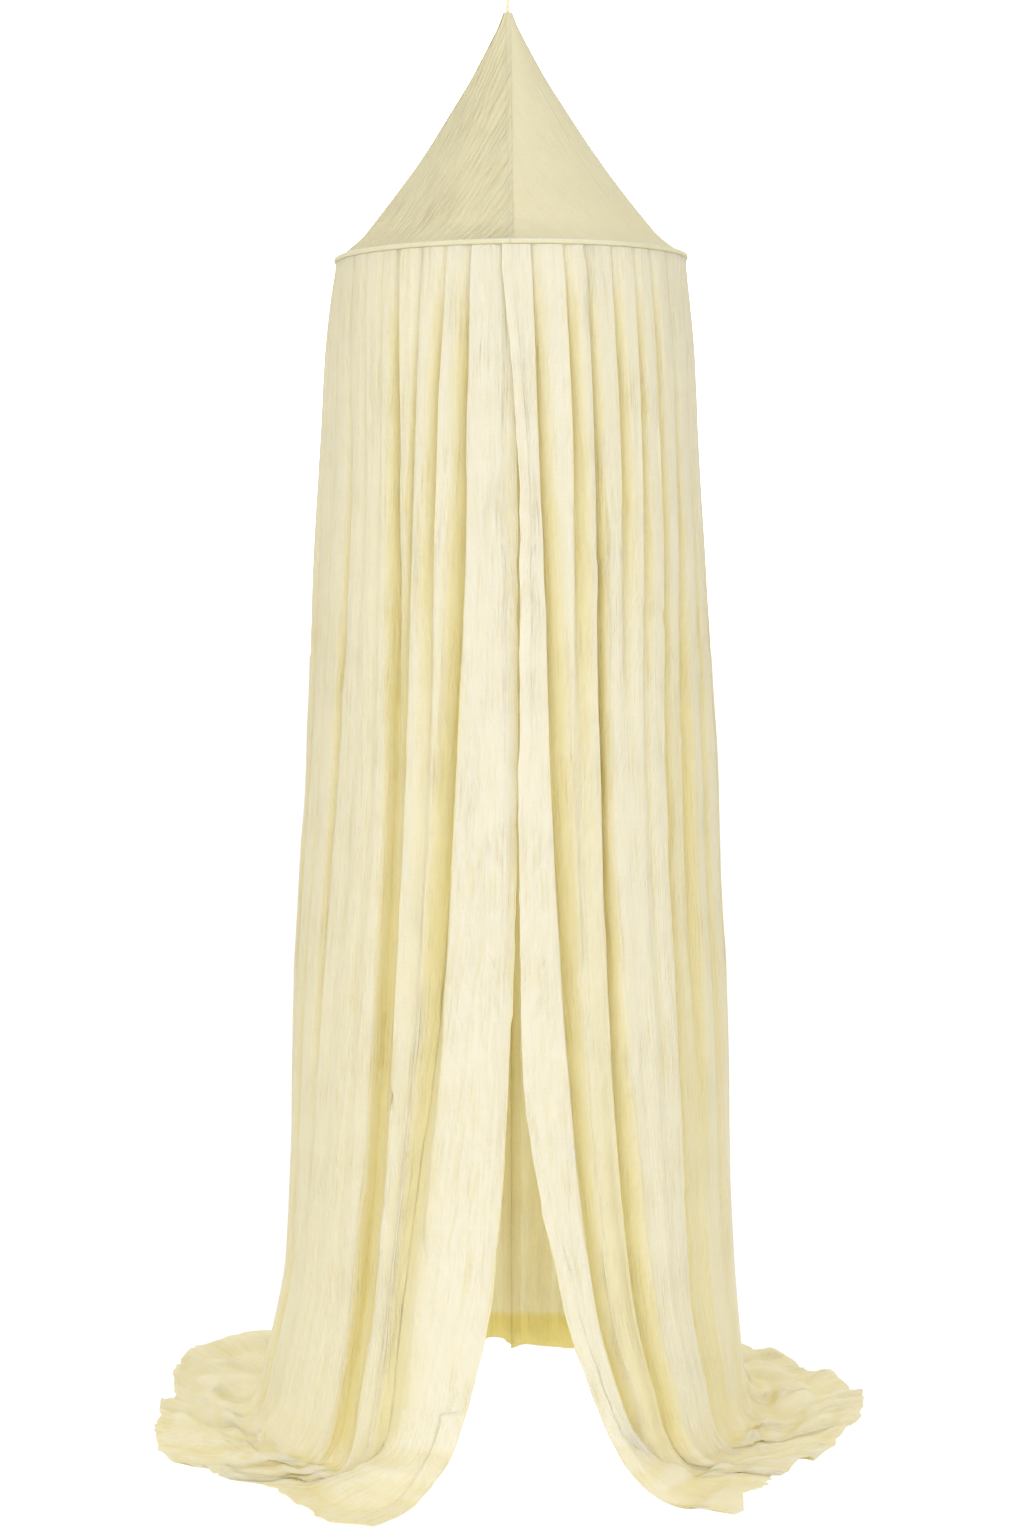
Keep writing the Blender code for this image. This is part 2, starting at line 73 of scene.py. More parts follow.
def add_object(name, data):
    """Puts a mesh, lamp or camera in the scene."""
    made = bpy.data.objects.new(name, data)
    bpy.context.scene.collection.objects.link(made)
    return made


def new_material(name):
    made = bpy.data.materials.new(name)
    made.use_nodes = True
    made.node_tree.nodes.clear()
    return made


bpy.context.scene.view_settings.view_transform = "Standard"

camera_data = bpy.data.cameras.new("camera")
camera_data.lens = CAMERA_LENS_MM
camera_data.sensor_width = 36.0
camera = add_object("camera", camera_data)
camera.location = CAMERA_AT
camera.rotation_euler = (math.radians(CAMERA_TILT_DEG), 0.0, 0.0)
bpy.context.scene.camera = camera

# Opal acrylic sheet lit from below: no gloss, and bright enough to blow out round the cloth.
floor_opal = new_material("opal_light_table")
tree = floor_opal.node_tree
speckle = node(tree, "ShaderNodeTexNoise", {"Scale": 40.0, "Detail": 1.0})
tint = node(tree, "ShaderNodeMix", {0: speckle.outputs["Fac"], 6: hex_colour("fcfcfb"), 7: hex_colour("ffffff")},
            data_type="RGBA")
glow = node(tree, "ShaderNodeEmission", {"Color": tint.outputs[2], "Strength": FLOOR_GLOW})
node(tree, "ShaderNodeOutputMaterial", {"Surface": glow.outputs[0]})
floor_opal.cycles.emission_sampling = "NONE"

floor_mesh = bpy.data.meshes.new("floor")
half_floor = FLOOR_SIZE / 2
floor_mesh.from_pydata([(x, y, FLOOR_Z - FLOOR_DROP) for x, y in (
    (-half_floor, -half_floor), (half_floor, -half_floor), (half_floor, half_floor), (-half_floor, half_floor))],
    [], [(0, 1, 2, 3)])
floor_mesh.materials.append(floor_opal)
add_object("floor", floor_mesh)

world = bpy.data.worlds.new("white_surround")
bpy.context.scene.world = world
world.use_nodes = True
tree = world.node_tree
tree.nodes.clear()
direction = node(tree, "ShaderNodeTexCoord").outputs["Generated"]
axes = node(tree, "ShaderNodeSeparateXYZ", {0: direction})
overhead = node(tree, "ShaderNodeMapRange", {"Value": axes.outputs["Z"], "From Min": 0.30, "From Max": 0.85,
                "To Min": 1.0, "To Max": 0.63}, interpolation_type="SMOOTHSTEP")
in_front = node(tree, "ShaderNodeMapRange", {"Value": axes.outputs["Y"], "From Min": -0.2, "From Max": -0.95,
                "To Min": 1.0, "To Max": 1.51}, interpolation_type="SMOOTHSTEP")
behind = node(tree, "ShaderNodeMapRange", {"Value": axes.outputs["Y"], "From Min": 0.45, "From Max": 0.93,
              "To Min": 0.0, "To Max": 2.0}, interpolation_type="SMOOTHSTEP")
level = node(tree, "ShaderNodeMath", {0: overhead.outputs[0], 1: in_front.outputs[0], 2: behind.outputs[0]},
             operation="MULTIPLY_ADD")
surround = node(tree, "ShaderNodeBackground", {"Color": hex_colour("ffffff"), "Strength": level.outputs[0]})
node(tree, "ShaderNodeOutputWorld", {"Surface": surround.outputs[0]})

# Softboxes: name, place, size across and down, watts, and the height on the middle line that each one
# faces. The low one fills in the cloth on the floor.
SOFTBOXES = (
    ("softbox_left", (-2.3, -3.4, 0.5), (1.6, 2.2), 25.0, -1.05),
    ("softbox_right", (2.6, -3.0, 0.1), (1.4, 2.0), 12.0, -1.05),
    ("softbox_low", (0.0, -2.4, -0.55), (2.4, 0.5), 14.0, -2.06),
)
for name, place, (across_m, down_m), watts, faces_z in SOFTBOXES:
    lamp = bpy.data.lights.new(name, "AREA")
    lamp.shape, lamp.size, lamp.size_y, lamp.energy = "RECTANGLE", across_m, down_m, watts
    box = add_object(name, lamp)
    box.location = place
    away = box.location.copy()
    away.z -= faces_z
    box.rotation_euler = away.to_track_quat("Z", "Y").to_euler()

# ---------------------------------------------------------------------------------------------
# Hoop
# A ring of plain plastic rod that holds the cloth round. It lies inside the sleeve, so only its CAD
# solid is needed, with the rod's own finish.
HOOP_HEIGHT = 1.665
HOOP_RING_RADIUS = 0.246
HOOP_ROLL_DEG = 0.65
HOOP_SHIFT_X = 0.0046

# Extruded polyethylene rod: a soft satin shine, with the faint lengthwise drag of the die.
rod_plastic = new_material("extruded_polyethylene")
tree = rod_plastic.node_tree
place = node(tree, "ShaderNodeTexCoord").outputs["Object"]
drag = node(tree, "ShaderNodeTexNoise", {"Vector": place, "Scale": 700.0, "Detail": 2.0})
shade = node(tree, "ShaderNodeMix", {0: drag.outputs["Fac"], 6: hex_colour("ebe9e2"), 7: hex_colour("f4f2ec")},
             data_type="RGBA")
grain = node(tree, "ShaderNodeBump", {"Height": drag.outputs["Fac"], "Strength": 0.3, "Distance": 0.0002})
plastic = node(tree, "ShaderNodeBsdfPrincipled", {"Base Color": shade.outputs[2], "Roughness": 0.42,
               "IOR": 1.51, "Normal": grain.outputs[0]})
node(tree, "ShaderNodeOutputMaterial", {"Surface": plastic.outputs[0]})
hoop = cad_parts["hoop"]
hoop.data.materials.clear()
hoop.data.materials.append(rod_plastic)

# ---------------------------------------------------------------------------------------------
# Sleeve
# A strip of the same muslin folded round the hoop, its two edges turned down inside and stitched
# through: the top and the curtains are gathered into that seam.
CLOTH_THICKNESS = 0.0009
SLEEVE_RADIUS = 0.0037
SLEEVE_TAIL = 0.0080
SLEEVE_AROUND = 900
SLEEVE_PUCKER = 0.00028
SLEEVE_PUCKER_WIDE = 0.006
SLEEVE_DENT_SHARE = 0.10
SLEEVE_DENT_AT = 0.35
SLEEVE_SHADE = 0.6
TURNED_EDGE_DEG = 70
# Painted shade: the tint that folds, hollows and shaded undersides are painted towards.
PAINTED_SHADE_TINT = (0.96, 0.91, 0.635, 1.0)


def hoop_point(angle, radius, rise):
    """A point beside the hoop at this angle from the front, with the hoop's slight roll."""
    x = radius * np.sin(angle)
    roll = math.tan(math.radians(HOOP_ROLL_DEG)) * x
    return np.stack([x + HOOP_SHIFT_X, -radius * np.cos(angle), FLOOR_Z + HOOP_HEIGHT + rise + roll], axis=-1)


def smooth_step(x):
    x = np.clip(x, 0.0, 1.0)
    return x * x * (3 - 2 * x)


def soft_noise(x, y, seed):
    """Smooth noise from -1 to 1, about one swell for each unit of x and of y."""
    table = np.random.default_rng(seed).uniform(-1.0, 1.0, (97, 89))
    x, y = np.broadcast_arrays(np.asarray(x, float), np.asarray(y, float))
    i, j = np.floor(x).astype(int), np.floor(y).astype(int)
    s, t = x - i, y - j
    s, t = s ** 3 * (6 * s * s - 15 * s + 10), t ** 3 * (6 * t * t - 15 * t + 10)
    corner = [table[(i + a) % 97, (j + b) % 89] for a in (0, 1) for b in (0, 1)]
    return (corner[0] * (1 - s) + corner[2] * s) * (1 - t) + (corner[1] * (1 - s) + corner[3] * s) * t


def muslin(name, lit, painted_dip_shade, through, share, crinkles):
    """Unbleached cotton muslin, plain woven and washed: matt, with uneven threads, the crinkles that washing
    leaves, and some light coming through. lit is its colour on the crinkles' crests and the next colour the
    painted shade in their dips, through is the colour of the light that passes, and each crinkle layer is its
    width and length in mm, slant in degrees and height in mm, grooves being negative."""
    made = new_material(name)
    tree = made.node_tree
    flat = node(tree, "ShaderNodeUVMap", uv_map="cloth").outputs[0]
    # Some patches of the cloth are crumpled and some lie smooth.
    patch = node(tree, "ShaderNodeTexNoise", {"Vector": flat, "Scale": 8.0, "Detail": 2.0})
    crisp = node(tree, "ShaderNodeMapRange", {"Value": patch.outputs["Fac"], "From Min": 0.38, "From Max": 0.62,
                 "To Min": 0.6, "To Max": 1.25})
    height, painted_crinkle_sum = 0.0, 0.0
    for wide_mm, long_mm, slant_deg, tall_mm in crinkles:
        lines = node(tree, "ShaderNodeMapping", {"Vector": flat, "Rotation": (0.0, 0.0, math.radians(slant_deg)),
                     "Scale": (wide_mm / 1000, long_mm / 1000, 1.0)}, vector_type="TEXTURE")
        swell = node(tree, "ShaderNodeTexNoise", {"Vector": lines.outputs[0], "Scale": 1.0, "Detail": 1.0,
                     "Distortion": 0.6})
        middle = node(tree, "ShaderNodeMath", {0: swell.outputs["Fac"], 1: 0.5}, operation="SUBTRACT")
        crest = node(tree, "ShaderNodeMath", {0: middle.outputs[0]}, operation="ABSOLUTE")
        height = node(tree, "ShaderNodeMath", {0: crest.outputs[0], 1: -4 * tall_mm / 1000, 2: height},
                      operation="MULTIPLY_ADD").outputs[0]
        painted_crinkle_sum = node(tree, "ShaderNodeMath", {0: crest.outputs[0], 1: math.copysign(2.1, tall_mm), 2: painted_crinkle_sum},
                    operation="MULTIPLY_ADD").outputs[0]
    crumpled = node(tree, "ShaderNodeMath", {0: height, 1: crisp.outputs[0]}, operation="MULTIPLY")
    creased = node(tree, "ShaderNodeBump", {"Height": crumpled.outputs[0], "Strength": 1.0, "Distance": 1.0})
    # Slubs: thicker lengths of thread, 1 mm wide and 30 to 60 mm long, both ways.
    down = node(tree, "ShaderNodeMapping", {"Vector": flat, "Scale": (900.0, 26.0, 1.0)})
    slub_down = node(tree, "ShaderNodeTexNoise", {"Vector": down.outputs[0], "Scale": 1.0, "Detail": 1.0})
    over = node(tree, "ShaderNodeMapping", {"Vector": flat, "Scale": (26.0, 900.0, 1.0)})
    slub_over = node(tree, "ShaderNodeTexNoise", {"Vector": over.outputs[0], "Scale": 1.0, "Detail": 1.0})
    slubs = node(tree, "ShaderNodeMath", {0: slub_down.outputs["Fac"], 1: slub_over.outputs["Fac"]},
                 operation="ADD")
    # Threads lie 0.6 mm apart, too fine to show from 4 m, so the weave is drawn at 1.7 mm.
    warp = node(tree, "ShaderNodeTexWave", {"Vector": flat, "Scale": 185.0, "Distortion": 1.2, "Detail": 0.0,
                "Detail Scale": 0.35}, wave_type="BANDS", bands_direction="X")
    weft = node(tree, "ShaderNodeTexWave", {"Vector": flat, "Scale": 185.0, "Distortion": 1.2, "Detail": 0.0,
                "Detail Scale": 0.35}, wave_type="BANDS", bands_direction="Y")
    weave = node(tree, "ShaderNodeMath", {0: warp.outputs["Fac"], 1: weft.outputs["Fac"]}, operation="MAXIMUM")
    threads = node(tree, "ShaderNodeMath", {0: slubs.outputs[0], 1: 1.2, 2: weave.outputs[0]},
                   operation="MULTIPLY_ADD")
    woven = node(tree, "ShaderNodeBump", {"Height": threads.outputs[0], "Strength": 0.5, "Distance": 0.00022,
                 "Normal": creased.outputs[0]})
    # Painted shade: the crinkles' dips take the darker colour, most in the crumpled patches.
    painted_crinkle_shade = node(tree, "ShaderNodeMath", {0: painted_crinkle_sum, 1: crisp.outputs[0]}, operation="MULTIPLY", use_clamp=True)
    colour = node(tree, "ShaderNodeMix", {0: painted_crinkle_shade.outputs[0], 6: hex_colour(lit), 7: hex_colour(painted_dip_shade)},
                  data_type="RGBA")
    thread = node(tree, "ShaderNodeMapRange", {"Value": slubs.outputs[0], "From Min": 0.7, "From Max": 1.3,
                  "To Min": 0.965, "To Max": 1.02})
    threaded = node(tree, "ShaderNodeVectorMath", {0: colour.outputs[2], "Scale": thread.outputs[0]},
                    operation="SCALE")
    # Painted shade: down in the folds and hollows the colour is painted darker and fuller, standing in for light
    # there that has already been through some cloth. The mix isn't clamped, so that it goes on past 1.
    painted_shade = node(tree, "ShaderNodeAttribute", attribute_name="painted_shade")
    fuller = node(tree, "ShaderNodeMix", {0: painted_shade.outputs["Fac"], 6: (1.0, 1.0, 1.0, 1.0), 7: PAINTED_SHADE_TINT},
                  data_type="RGBA", clamp_factor=False)
    front_colour = node(tree, "ShaderNodeMix", {0: 1.0, 6: threaded.outputs[0], 7: fuller.outputs[2]},
                        data_type="RGBA", blend_type="MULTIPLY")
    back_colour = node(tree, "ShaderNodeMix", {0: 1.0, 6: hex_colour(through), 7: fuller.outputs[2]},
                       data_type="RGBA", blend_type="MULTIPLY")
    front = node(tree, "ShaderNodeBsdfPrincipled", {"Base Color": front_colour.outputs[2], "Roughness": 0.92,
                 "Specular IOR Level": 0.15, "Sheen Weight": 0.08, "Sheen Roughness": 0.6,
                 "Normal": woven.outputs[0]})
    behind = node(tree, "ShaderNodeBsdfTranslucent", {"Color": back_colour.outputs[2],
                  "Normal": woven.outputs[0]})
    both = node(tree, "ShaderNodeMixShader", {0: share, 1: front.outputs[0], 2: behind.outputs[0]})
    node(tree, "ShaderNodeOutputMaterial", {"Surface": both.outputs[0]})
    return made


def distance_along(points):
    """How far each point of a line lies from its first, in m."""
    return np.concatenate([[0.0], np.cumsum(np.linalg.norm(np.diff(points, axis=0), axis=1))])


def unit(vectors):
    """The same directions, each 1 long."""
    return vectors / np.maximum(np.linalg.norm(vectors, axis=-1, keepdims=True), 1e-9)


def cloth_object(name, points, faces, flat, finish, painted_shade):
    """A cloth from its points and faces, with each point's place on the flat cloth in metres, and how much
    painted shade its colour takes: 0 on a lit crest, 1 far down in a fold, and more on the inner face."""
    mesh = bpy.data.meshes.new(name)
    mesh.from_pydata(points.tolist(), [], faces.tolist())
    uv = mesh.uv_layers.new(name="cloth")
    uv.data.foreach_set("uv", flat[faces.reshape(-1)].astype(np.float32).ravel())
    if painted_shade is not None:
        painted_dip_shade = mesh.attributes.new("painted_shade", "FLOAT", "POINT")
        painted_dip_shade.data.foreach_set("value", painted_shade.astype(np.float32))
    mesh.polygons.foreach_set("use_smooth", np.ones(len(faces), bool))
    mesh.set_sharp_from_angle(angle=math.radians(TURNED_EDGE_DEG))
    mesh.materials.append(finish)
    mesh.validate()
    return add_object(name, mesh)


def dress(piece, slot, *stands_for):
    """Every piece rides on the one body and may stand for CAD nodes; slot is not used."""
    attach(piece, "root")
    if stands_for:
        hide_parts(*stands_for)


# The strip's own section, from one tail's foot up round the rod and down the other tail, with a shallow
# dent where the folded edge of the top ends under it.
turn = np.radians(np.linspace(225.0, -112.0, 30))
ring_radius = SLEEVE_RADIUS * (1 - SLEEVE_DENT_SHARE * np.exp(-(((turn - SLEEVE_DENT_AT) / 0.16) ** 2)))
section = [(-0.0056, -SLEEVE_RADIUS - SLEEVE_TAIL), (-0.0054, -SLEEVE_RADIUS - SLEEVE_TAIL / 2)]
section += [(r * math.cos(a), r * math.sin(a)) for r, a in zip(ring_radius, turn)]
section += [(-0.0022, -SLEEVE_RADIUS - 0.0005), (-0.0037, -SLEEVE_RADIUS - SLEEVE_TAIL / 2),
            (-0.0038, -SLEEVE_RADIUS - SLEEVE_TAIL)]
section = np.array(section)
along = np.gradient(section, axis=0)
outward = unit(np.stack([-along[:, 1], along[:, 0]], axis=1))
inside = section - outward * CLOTH_THICKNESS * 0.9
strip = distance_along(section)
angles = np.linspace(0.0, 2 * math.pi, SLEEVE_AROUND, endpoint=False)
points, flat_places = [], []
for ring in (section, inside[::-1]):
    for out, up in ring:
        swell = soft_noise(angles * HOOP_RING_RADIUS / SLEEVE_PUCKER_WIDE, up / 0.004 + 7.0, 11)
        radius = HOOP_RING_RADIUS + out + SLEEVE_PUCKER * swell
        points.append(hoop_point(angles, radius, np.full_like(angles, up)))
for ring in (strip, strip[::-1]):
    for across_strip in ring:
        flat_places.append(np.stack([angles * HOOP_RING_RADIUS, np.full_like(angles, across_strip)], axis=-1))
points, flat_places = np.array(points), np.array(flat_places)
count = len(points)
index = np.arange(count * SLEEVE_AROUND).reshape(count, SLEEVE_AROUND)
below_index, next_index = np.roll(index, -1, axis=0), np.roll(index, -1, axis=1)
corner_index = np.roll(below_index, -1, axis=1)
faces = np.stack([index, below_index, corner_index, next_index], axis=-1).reshape(-1, 4)
# The underside is fuller in colour, as it lies in the shade of the rod.
shaded = smooth_step((0.0026 - np.concatenate([section, inside[::-1]])[:, 1]) / 0.0024)
sleeve_muslin = muslin("folded_cotton_muslin", "eeecdc", "e5e0c6", "e6dcb2", 0.30, (
    (5, 3, 0, 0.2), (7, 4, 40, 0.15)))
sleeve = cloth_object("hoop_sleeve_cloth", points.reshape(-1, 3), faces, flat_places.reshape(-1, 2),
                      sleeve_muslin, np.repeat(SLEEVE_SHADE * shaded, SLEEVE_AROUND))
dress(sleeve, "sleeve_cloth", "hoop_sleeve")

# ---------------------------------------------------------------------------------------------
# Coned top
# Four gores of the muslin, felled together edge over edge so that one panel's rim lies on the next,
# and held taut between the hoop and the point. The left front gore is the most crinkled one.
CONE_PROFILE = (
    (2.008, 0.0050), (1.990, 0.0120), (1.955, 0.0300), (1.915, 0.0520), (1.870, 0.0805),
    (1.820, 0.1130), (1.770, 0.1490), (1.725, 0.1840), (1.692, 0.2120), (1.674, 0.2345),
    (1.6678, 0.2437),
)
GORE_HOLLOW_SHARE = 0.0385
GORE_ROWS = 120
SEAM_LAP = 0.0030
SEAM_LIFT = 0.0010

# Gores: name, where each starts in degrees from the front, crinkle height and width in mm, columns.
GORES = (
    ("right_front", 0, 0.10, 12.0, 90), ("right_back", 90, 0.25, 9.0, 150),
    ("left_back", 180, 0.20, 10.0, 150), ("left_front", 270, 0.75, 8.0, 240),
)


def cloth_mesh(name, outer, inner, flat, finish, painted_shade=None):
    """Closes an outer and an inner grid of points into one thin sheet, with one grid of painted shade for each.
    """
    rows, columns = outer.shape[:2]
    under = rows * columns
    place = np.arange(under).reshape(rows, columns)
    a, b, d, e = place[:-1, :-1], place[:-1, 1:], place[1:, :-1], place[1:, 1:]
    top = np.stack([a, d, e, b], axis=-1).reshape(-1, 4)
    bottom = np.stack([a, b, e, d], axis=-1).reshape(-1, 4) + under
    loop = np.concatenate([place[0], place[1:, -1], place[-1, -2::-1], place[-2:0:-1, 0]])
    after = np.roll(loop, -1)
    rim = np.stack([loop, after, after + under, loop + under], axis=-1)
    faces = np.concatenate([top, bottom, rim])
    points = np.concatenate([outer.reshape(-1, 3), inner.reshape(-1, 3)])
    if painted_shade is not None:
        painted_shade = np.concatenate([one.ravel() for one in painted_shade])
    return cloth_object(name, points, faces, np.concatenate([flat.reshape(-1, 2)] * 2), finish, painted_shade)


def smooth_at(x, xs, ys):
    """Monotone cubic through (xs, ys), rising or falling xs, held level past both ends."""
    xs = np.asarray(xs, float)
    ys = np.asarray(ys, float)
    if xs[0] > xs[-1]:
        xs, ys = xs[::-1], ys[::-1]
    steps = np.diff(xs)
    slopes = np.diff(ys) / steps
    before, after = slopes[:-1], slopes[1:]
    level = before * after <= 0
    mean = 2 * before * after / np.where(level, 1.0, before + after)
    ends = np.concatenate([[slopes[0]], np.where(level, 0.0, mean), [slopes[-1]]])
    x = np.clip(x, xs[0], xs[-1])
    i = np.clip(np.searchsorted(xs, x) - 1, 0, len(steps) - 1)
    t = (x - xs[i]) / steps[i]
    a = ys[i] * (1 + 2 * t) * (1 - t) ** 2 + ends[i] * steps[i] * t * (1 - t) ** 2
    b = ys[i + 1] * t * t * (3 - 2 * t) - ends[i + 1] * steps[i] * t * t * (1 - t)
    return a + b


def grid_normals(grid, sign):
    """Unit normals of a grid of rows and columns."""
    along = np.gradient(grid, axis=1)
    down = np.gradient(grid, axis=0)
    return unit(np.cross(down, along) * sign)


def bump(x, width):
    """A soft swell, 1 in the middle and nearly 0 a width away."""
    return np.exp(-2.5 * (x / width) ** 2)


# Painted shade: the top's muslins are darker copies of the curtains' muslin, as the top gets less light from
# overhead.
top_muslin = muslin("stretched_cotton_muslin_painted_shade", "efebce", "e7dfba", "eae2b9", 0.42, (
    (3.6, 90, 1.5, 0.9), (8, 120, -2, 0.3)))
smooth_muslin = muslin("stretched_smooth_cotton_muslin_painted_shade", "f1eed2", "ebe4c6", "ede5bf", 0.42, (
    (3.5, 25, 50, 0.12), (9, 60, -15, 0.2)))
profile = np.array(CONE_PROFILE)
down_cone = np.linspace(0.0, 1.0, GORE_ROWS) ** 0.85 * (len(profile) - 1)
heights, radii = (smooth_at(down_cone, np.arange(len(profile)), column) for column in profile.T)
slant = 0.010 + np.concatenate([[0.0], np.cumsum(np.hypot(np.diff(heights), np.diff(radii)))])
near_hoop = (heights[0] - heights) / (heights[0] - heights[-1])
seam_paths = []
for name, start_deg, crinkle_mm, crinkle_wide_mm, columns in GORES:
    start = math.radians(start_deg)
    step = np.linspace(0.0, 1.0, columns)[None, :]
    lap = np.minimum(SEAM_LAP / radii, 0.30)[:, None]
    angle = start - lap + step * (math.pi / 2 + 2 * lap)
    share = np.clip((angle - start) / (math.pi / 2), 0.0, 1.0)
    hollow = GORE_HOLLOW_SHARE * (radii * np.sin(math.pi * near_hoop))[:, None]
    radius = radii[:, None] - hollow * np.sin(math.pi * share) ** 2
    spread = (angle - start - math.pi / 4) * (radii / slant)[:, None]
    flat = np.stack([slant[:, None] * np.sin(spread), slant[:, None] * np.cos(spread)], axis=-1)
    x = radius * np.sin(angle)
    roll = math.tan(math.radians(HOOP_ROLL_DEG)) * x * near_hoop[:, None]
    grid = np.stack([x + HOOP_SHIFT_X * near_hoop[:, None], -radius * np.cos(angle),
                     FLOOR_Z + heights[:, None] + roll], axis=-1)
    normal = grid_normals(grid, 1.0)
    edge = np.minimum(share, 1 - share) * (math.pi / 2) * radii[:, None]
    calm = np.clip(edge / 0.006, 0.0, 1.0) * np.clip((1 - near_hoop) / 0.04, 0.0, 1.0)[:, None]
    wide = crinkle_wide_mm / 1000
    # Long creases lie side by side, nearly even, each wandering a little.
    wander = 1.1 * soft_noise(flat[..., 0] / 0.03, flat[..., 1] / 0.11, 21 + start_deg)
    ridge = np.sin(2 * math.pi * (flat[..., 0] / wide + wander))
    ridge += 0.5 * soft_noise(flat[..., 0] / (wide * 0.5), flat[..., 1] / 0.07, 22 + start_deg)
    patchy = soft_noise(flat[..., 0] / 0.07, flat[..., 1] / 0.10, 5 + start_deg)
    patchy = 0.35 + 0.65 * np.clip(0.6 + patchy, 0, 1)
    lift = crinkle_mm / 1000 * ridge * patchy * calm
    lift += 0.0012 * soft_noise(flat[..., 0] / 0.06, flat[..., 1] / 0.09, 31 + start_deg) * calm
    if name == "right_front":
        # Two faint creases from the packet run beside each other from the middle of the panel down.
        line = flat[..., 0] - 0.004 - 0.10 * (flat[..., 1] - 0.2)
        lift += 0.0007 * (bump(line, 0.0035) - bump(line - 0.006, 0.003)) * calm * (flat[..., 1] > 0.13)
    on_top = np.clip((angle - start - math.pi / 2 + lap) / (0.4 * lap), 0.0, 1.0)
    lift += SEAM_LIFT * on_top + 0.0004 * on_top * (1 - near_hoop[:, None])
    outer = grid + normal * lift[..., None]
    outer[-1, :, 2] = grid[-1, :, 2]
    inner = outer - CLOTH_THICKNESS * normal
    inner[-1, :, 2] = outer[-1, :, 2]
    finish = smooth_muslin if name == "right_front" else top_muslin
    panel = cloth_mesh("top_panel_" + name + "_cloth", outer, inner, flat, finish)
    dress(panel, "top_cloth", "top_panel_" + name)
    seam_paths.append(outer[4:-2, -3] + normal[4:-2, -3] * 0.0001)

# ---------------------------------------------------------------------------------------------
# Hanging loop
# Narrow herringbone cotton tape, doubled and caught in the point of the top, with the ceiling
# hook's place in its upper end.
LOOP_ROWS = (
    (-0.0720, 0.0014, 0.0056), (-0.0590, 0.0014, 0.0058), (-0.0540, 0.0016, 0.0058),
    (-0.0440, 0.0019, 0.0056), (-0.0350, 0.0030, 0.0055), (-0.0270, 0.0046, 0.0055),
    (-0.0190, 0.0062, 0.0055), (-0.0120, 0.0070, 0.0055), (-0.0060, 0.0062, 0.0055),
    (-0.0020, 0.0040, 0.0055), (0.0, 0.0, 0.0055),
)
TAPE_THICKNESS = 0.0012
TAPE_STEPS = 150
TAPE_COLUMNS = 9

# Woven cotton tape: a herringbone of 1 mm threads, soft and matt.
tape_cotton = new_material("herringbone_cotton_tape")
tree = tape_cotton.node_tree
flat_map = node(tree, "ShaderNodeUVMap", uv_map="cloth").outputs[0]
sides = node(tree, "ShaderNodeSeparateXYZ", {0: flat_map})
fold = node(tree, "ShaderNodeMath", {0: sides.outputs["X"], 1: 0.0014}, operation="PINGPONG")
slope = node(tree, "ShaderNodeMath", {0: sides.outputs["Y"], 1: fold.outputs[0]}, operation="ADD")
chevron = node(tree, "ShaderNodeCombineXYZ", {"X": slope.outputs[0]})
rib = node(tree, "ShaderNodeTexWave", {"Vector": chevron.outputs[0], "Scale": 314.0, "Distortion": 0.4})
fluff = node(tree, "ShaderNodeTexNoise", {"Vector": flat_map, "Scale": 1500.0, "Detail": 2.0})
shade = node(tree, "ShaderNodeMix", {0: rib.outputs["Fac"], 6: hex_colour("e2d6ac"), 7: hex_colour("f4ecd0")},
             data_type="RGBA")
ribbed = node(tree, "ShaderNodeBump", {"Height": rib.outputs["Fac"], "Strength": 0.8, "Distance": 0.0003})
fuzzy = node(tree, "ShaderNodeBump", {"Height": fluff.outputs["Fac"], "Strength": 0.4, "Distance": 0.0002,
             "Normal": ribbed.outputs[0]})
woven_tape = node(tree, "ShaderNodeBsdfPrincipled", {"Base Color": shade.outputs[2], "Roughness": 0.9,
                  "Specular IOR Level": 0.2, "Sheen Weight": 0.1, "Normal": fuzzy.outputs[0]})
node(tree, "ShaderNodeOutputMaterial", {"Surface": woven_tape.outputs[0]})

half_loop = np.array([(half, z, width) for z, half, width in LOOP_ROWS])
whole_loop = np.concatenate([half_loop, half_loop[-2::-1] * (-1, 1, 1)])
reach = np.arange(len(whole_loop))
fine = np.linspace(0, reach[-1], TAPE_STEPS)
line = np.stack([smooth_at(fine, reach, column) for column in whole_loop.T], axis=-1)
line[:, 0] = np.interp(fine, reach, whole_loop[:, 0]) * 0.35 + line[:, 0] * 0.65
run = np.gradient(line[:, :2], axis=0)
out_of_loop = unit(np.stack([run[:, 1], -run[:, 0]], axis=1))
across_tape = np.linspace(-0.5, 0.5, TAPE_COLUMNS)
length = np.concatenate([[0.0], np.cumsum(np.hypot(*np.diff(line[:, :2], axis=0).T))])
outer = np.zeros((TAPE_STEPS, TAPE_COLUMNS, 3))
inner = np.zeros_like(outer)
for grid, depth in ((outer, 0.0), (inner, TAPE_THICKNESS * 0.9)):
    rounding = 0.00022 * (2 * across_tape) ** 4
    sunk = depth + np.where(depth > 0, -rounding, rounding)
    grid[..., 0] = across_tape * line[:, 2:3]
    grid[..., 1] = line[:, 0:1] - out_of_loop[:, 0:1] * sunk
    grid[..., 2] = line[:, 1:2] - out_of_loop[:, 1:2] * sunk
outer[..., 2] = np.minimum(outer[..., 2], 0.0)
flat = np.stack(np.broadcast_arrays(across_tape[None, :] * 0.0055, length[:, None]), axis=-1)
loop = cloth_mesh("hanging_loop_tape", outer, inner, flat, tape_cotton)
dress(loop, "loop_tape", "hanging_loop")

# ---------------------------------------------------------------------------------------------
# Curtains
# Two widths of the muslin, each gathered into knife pleats under the sleeve, joined by a plain seam
# behind, hemmed down the slit and round the foot, and long enough to spread on the floor.

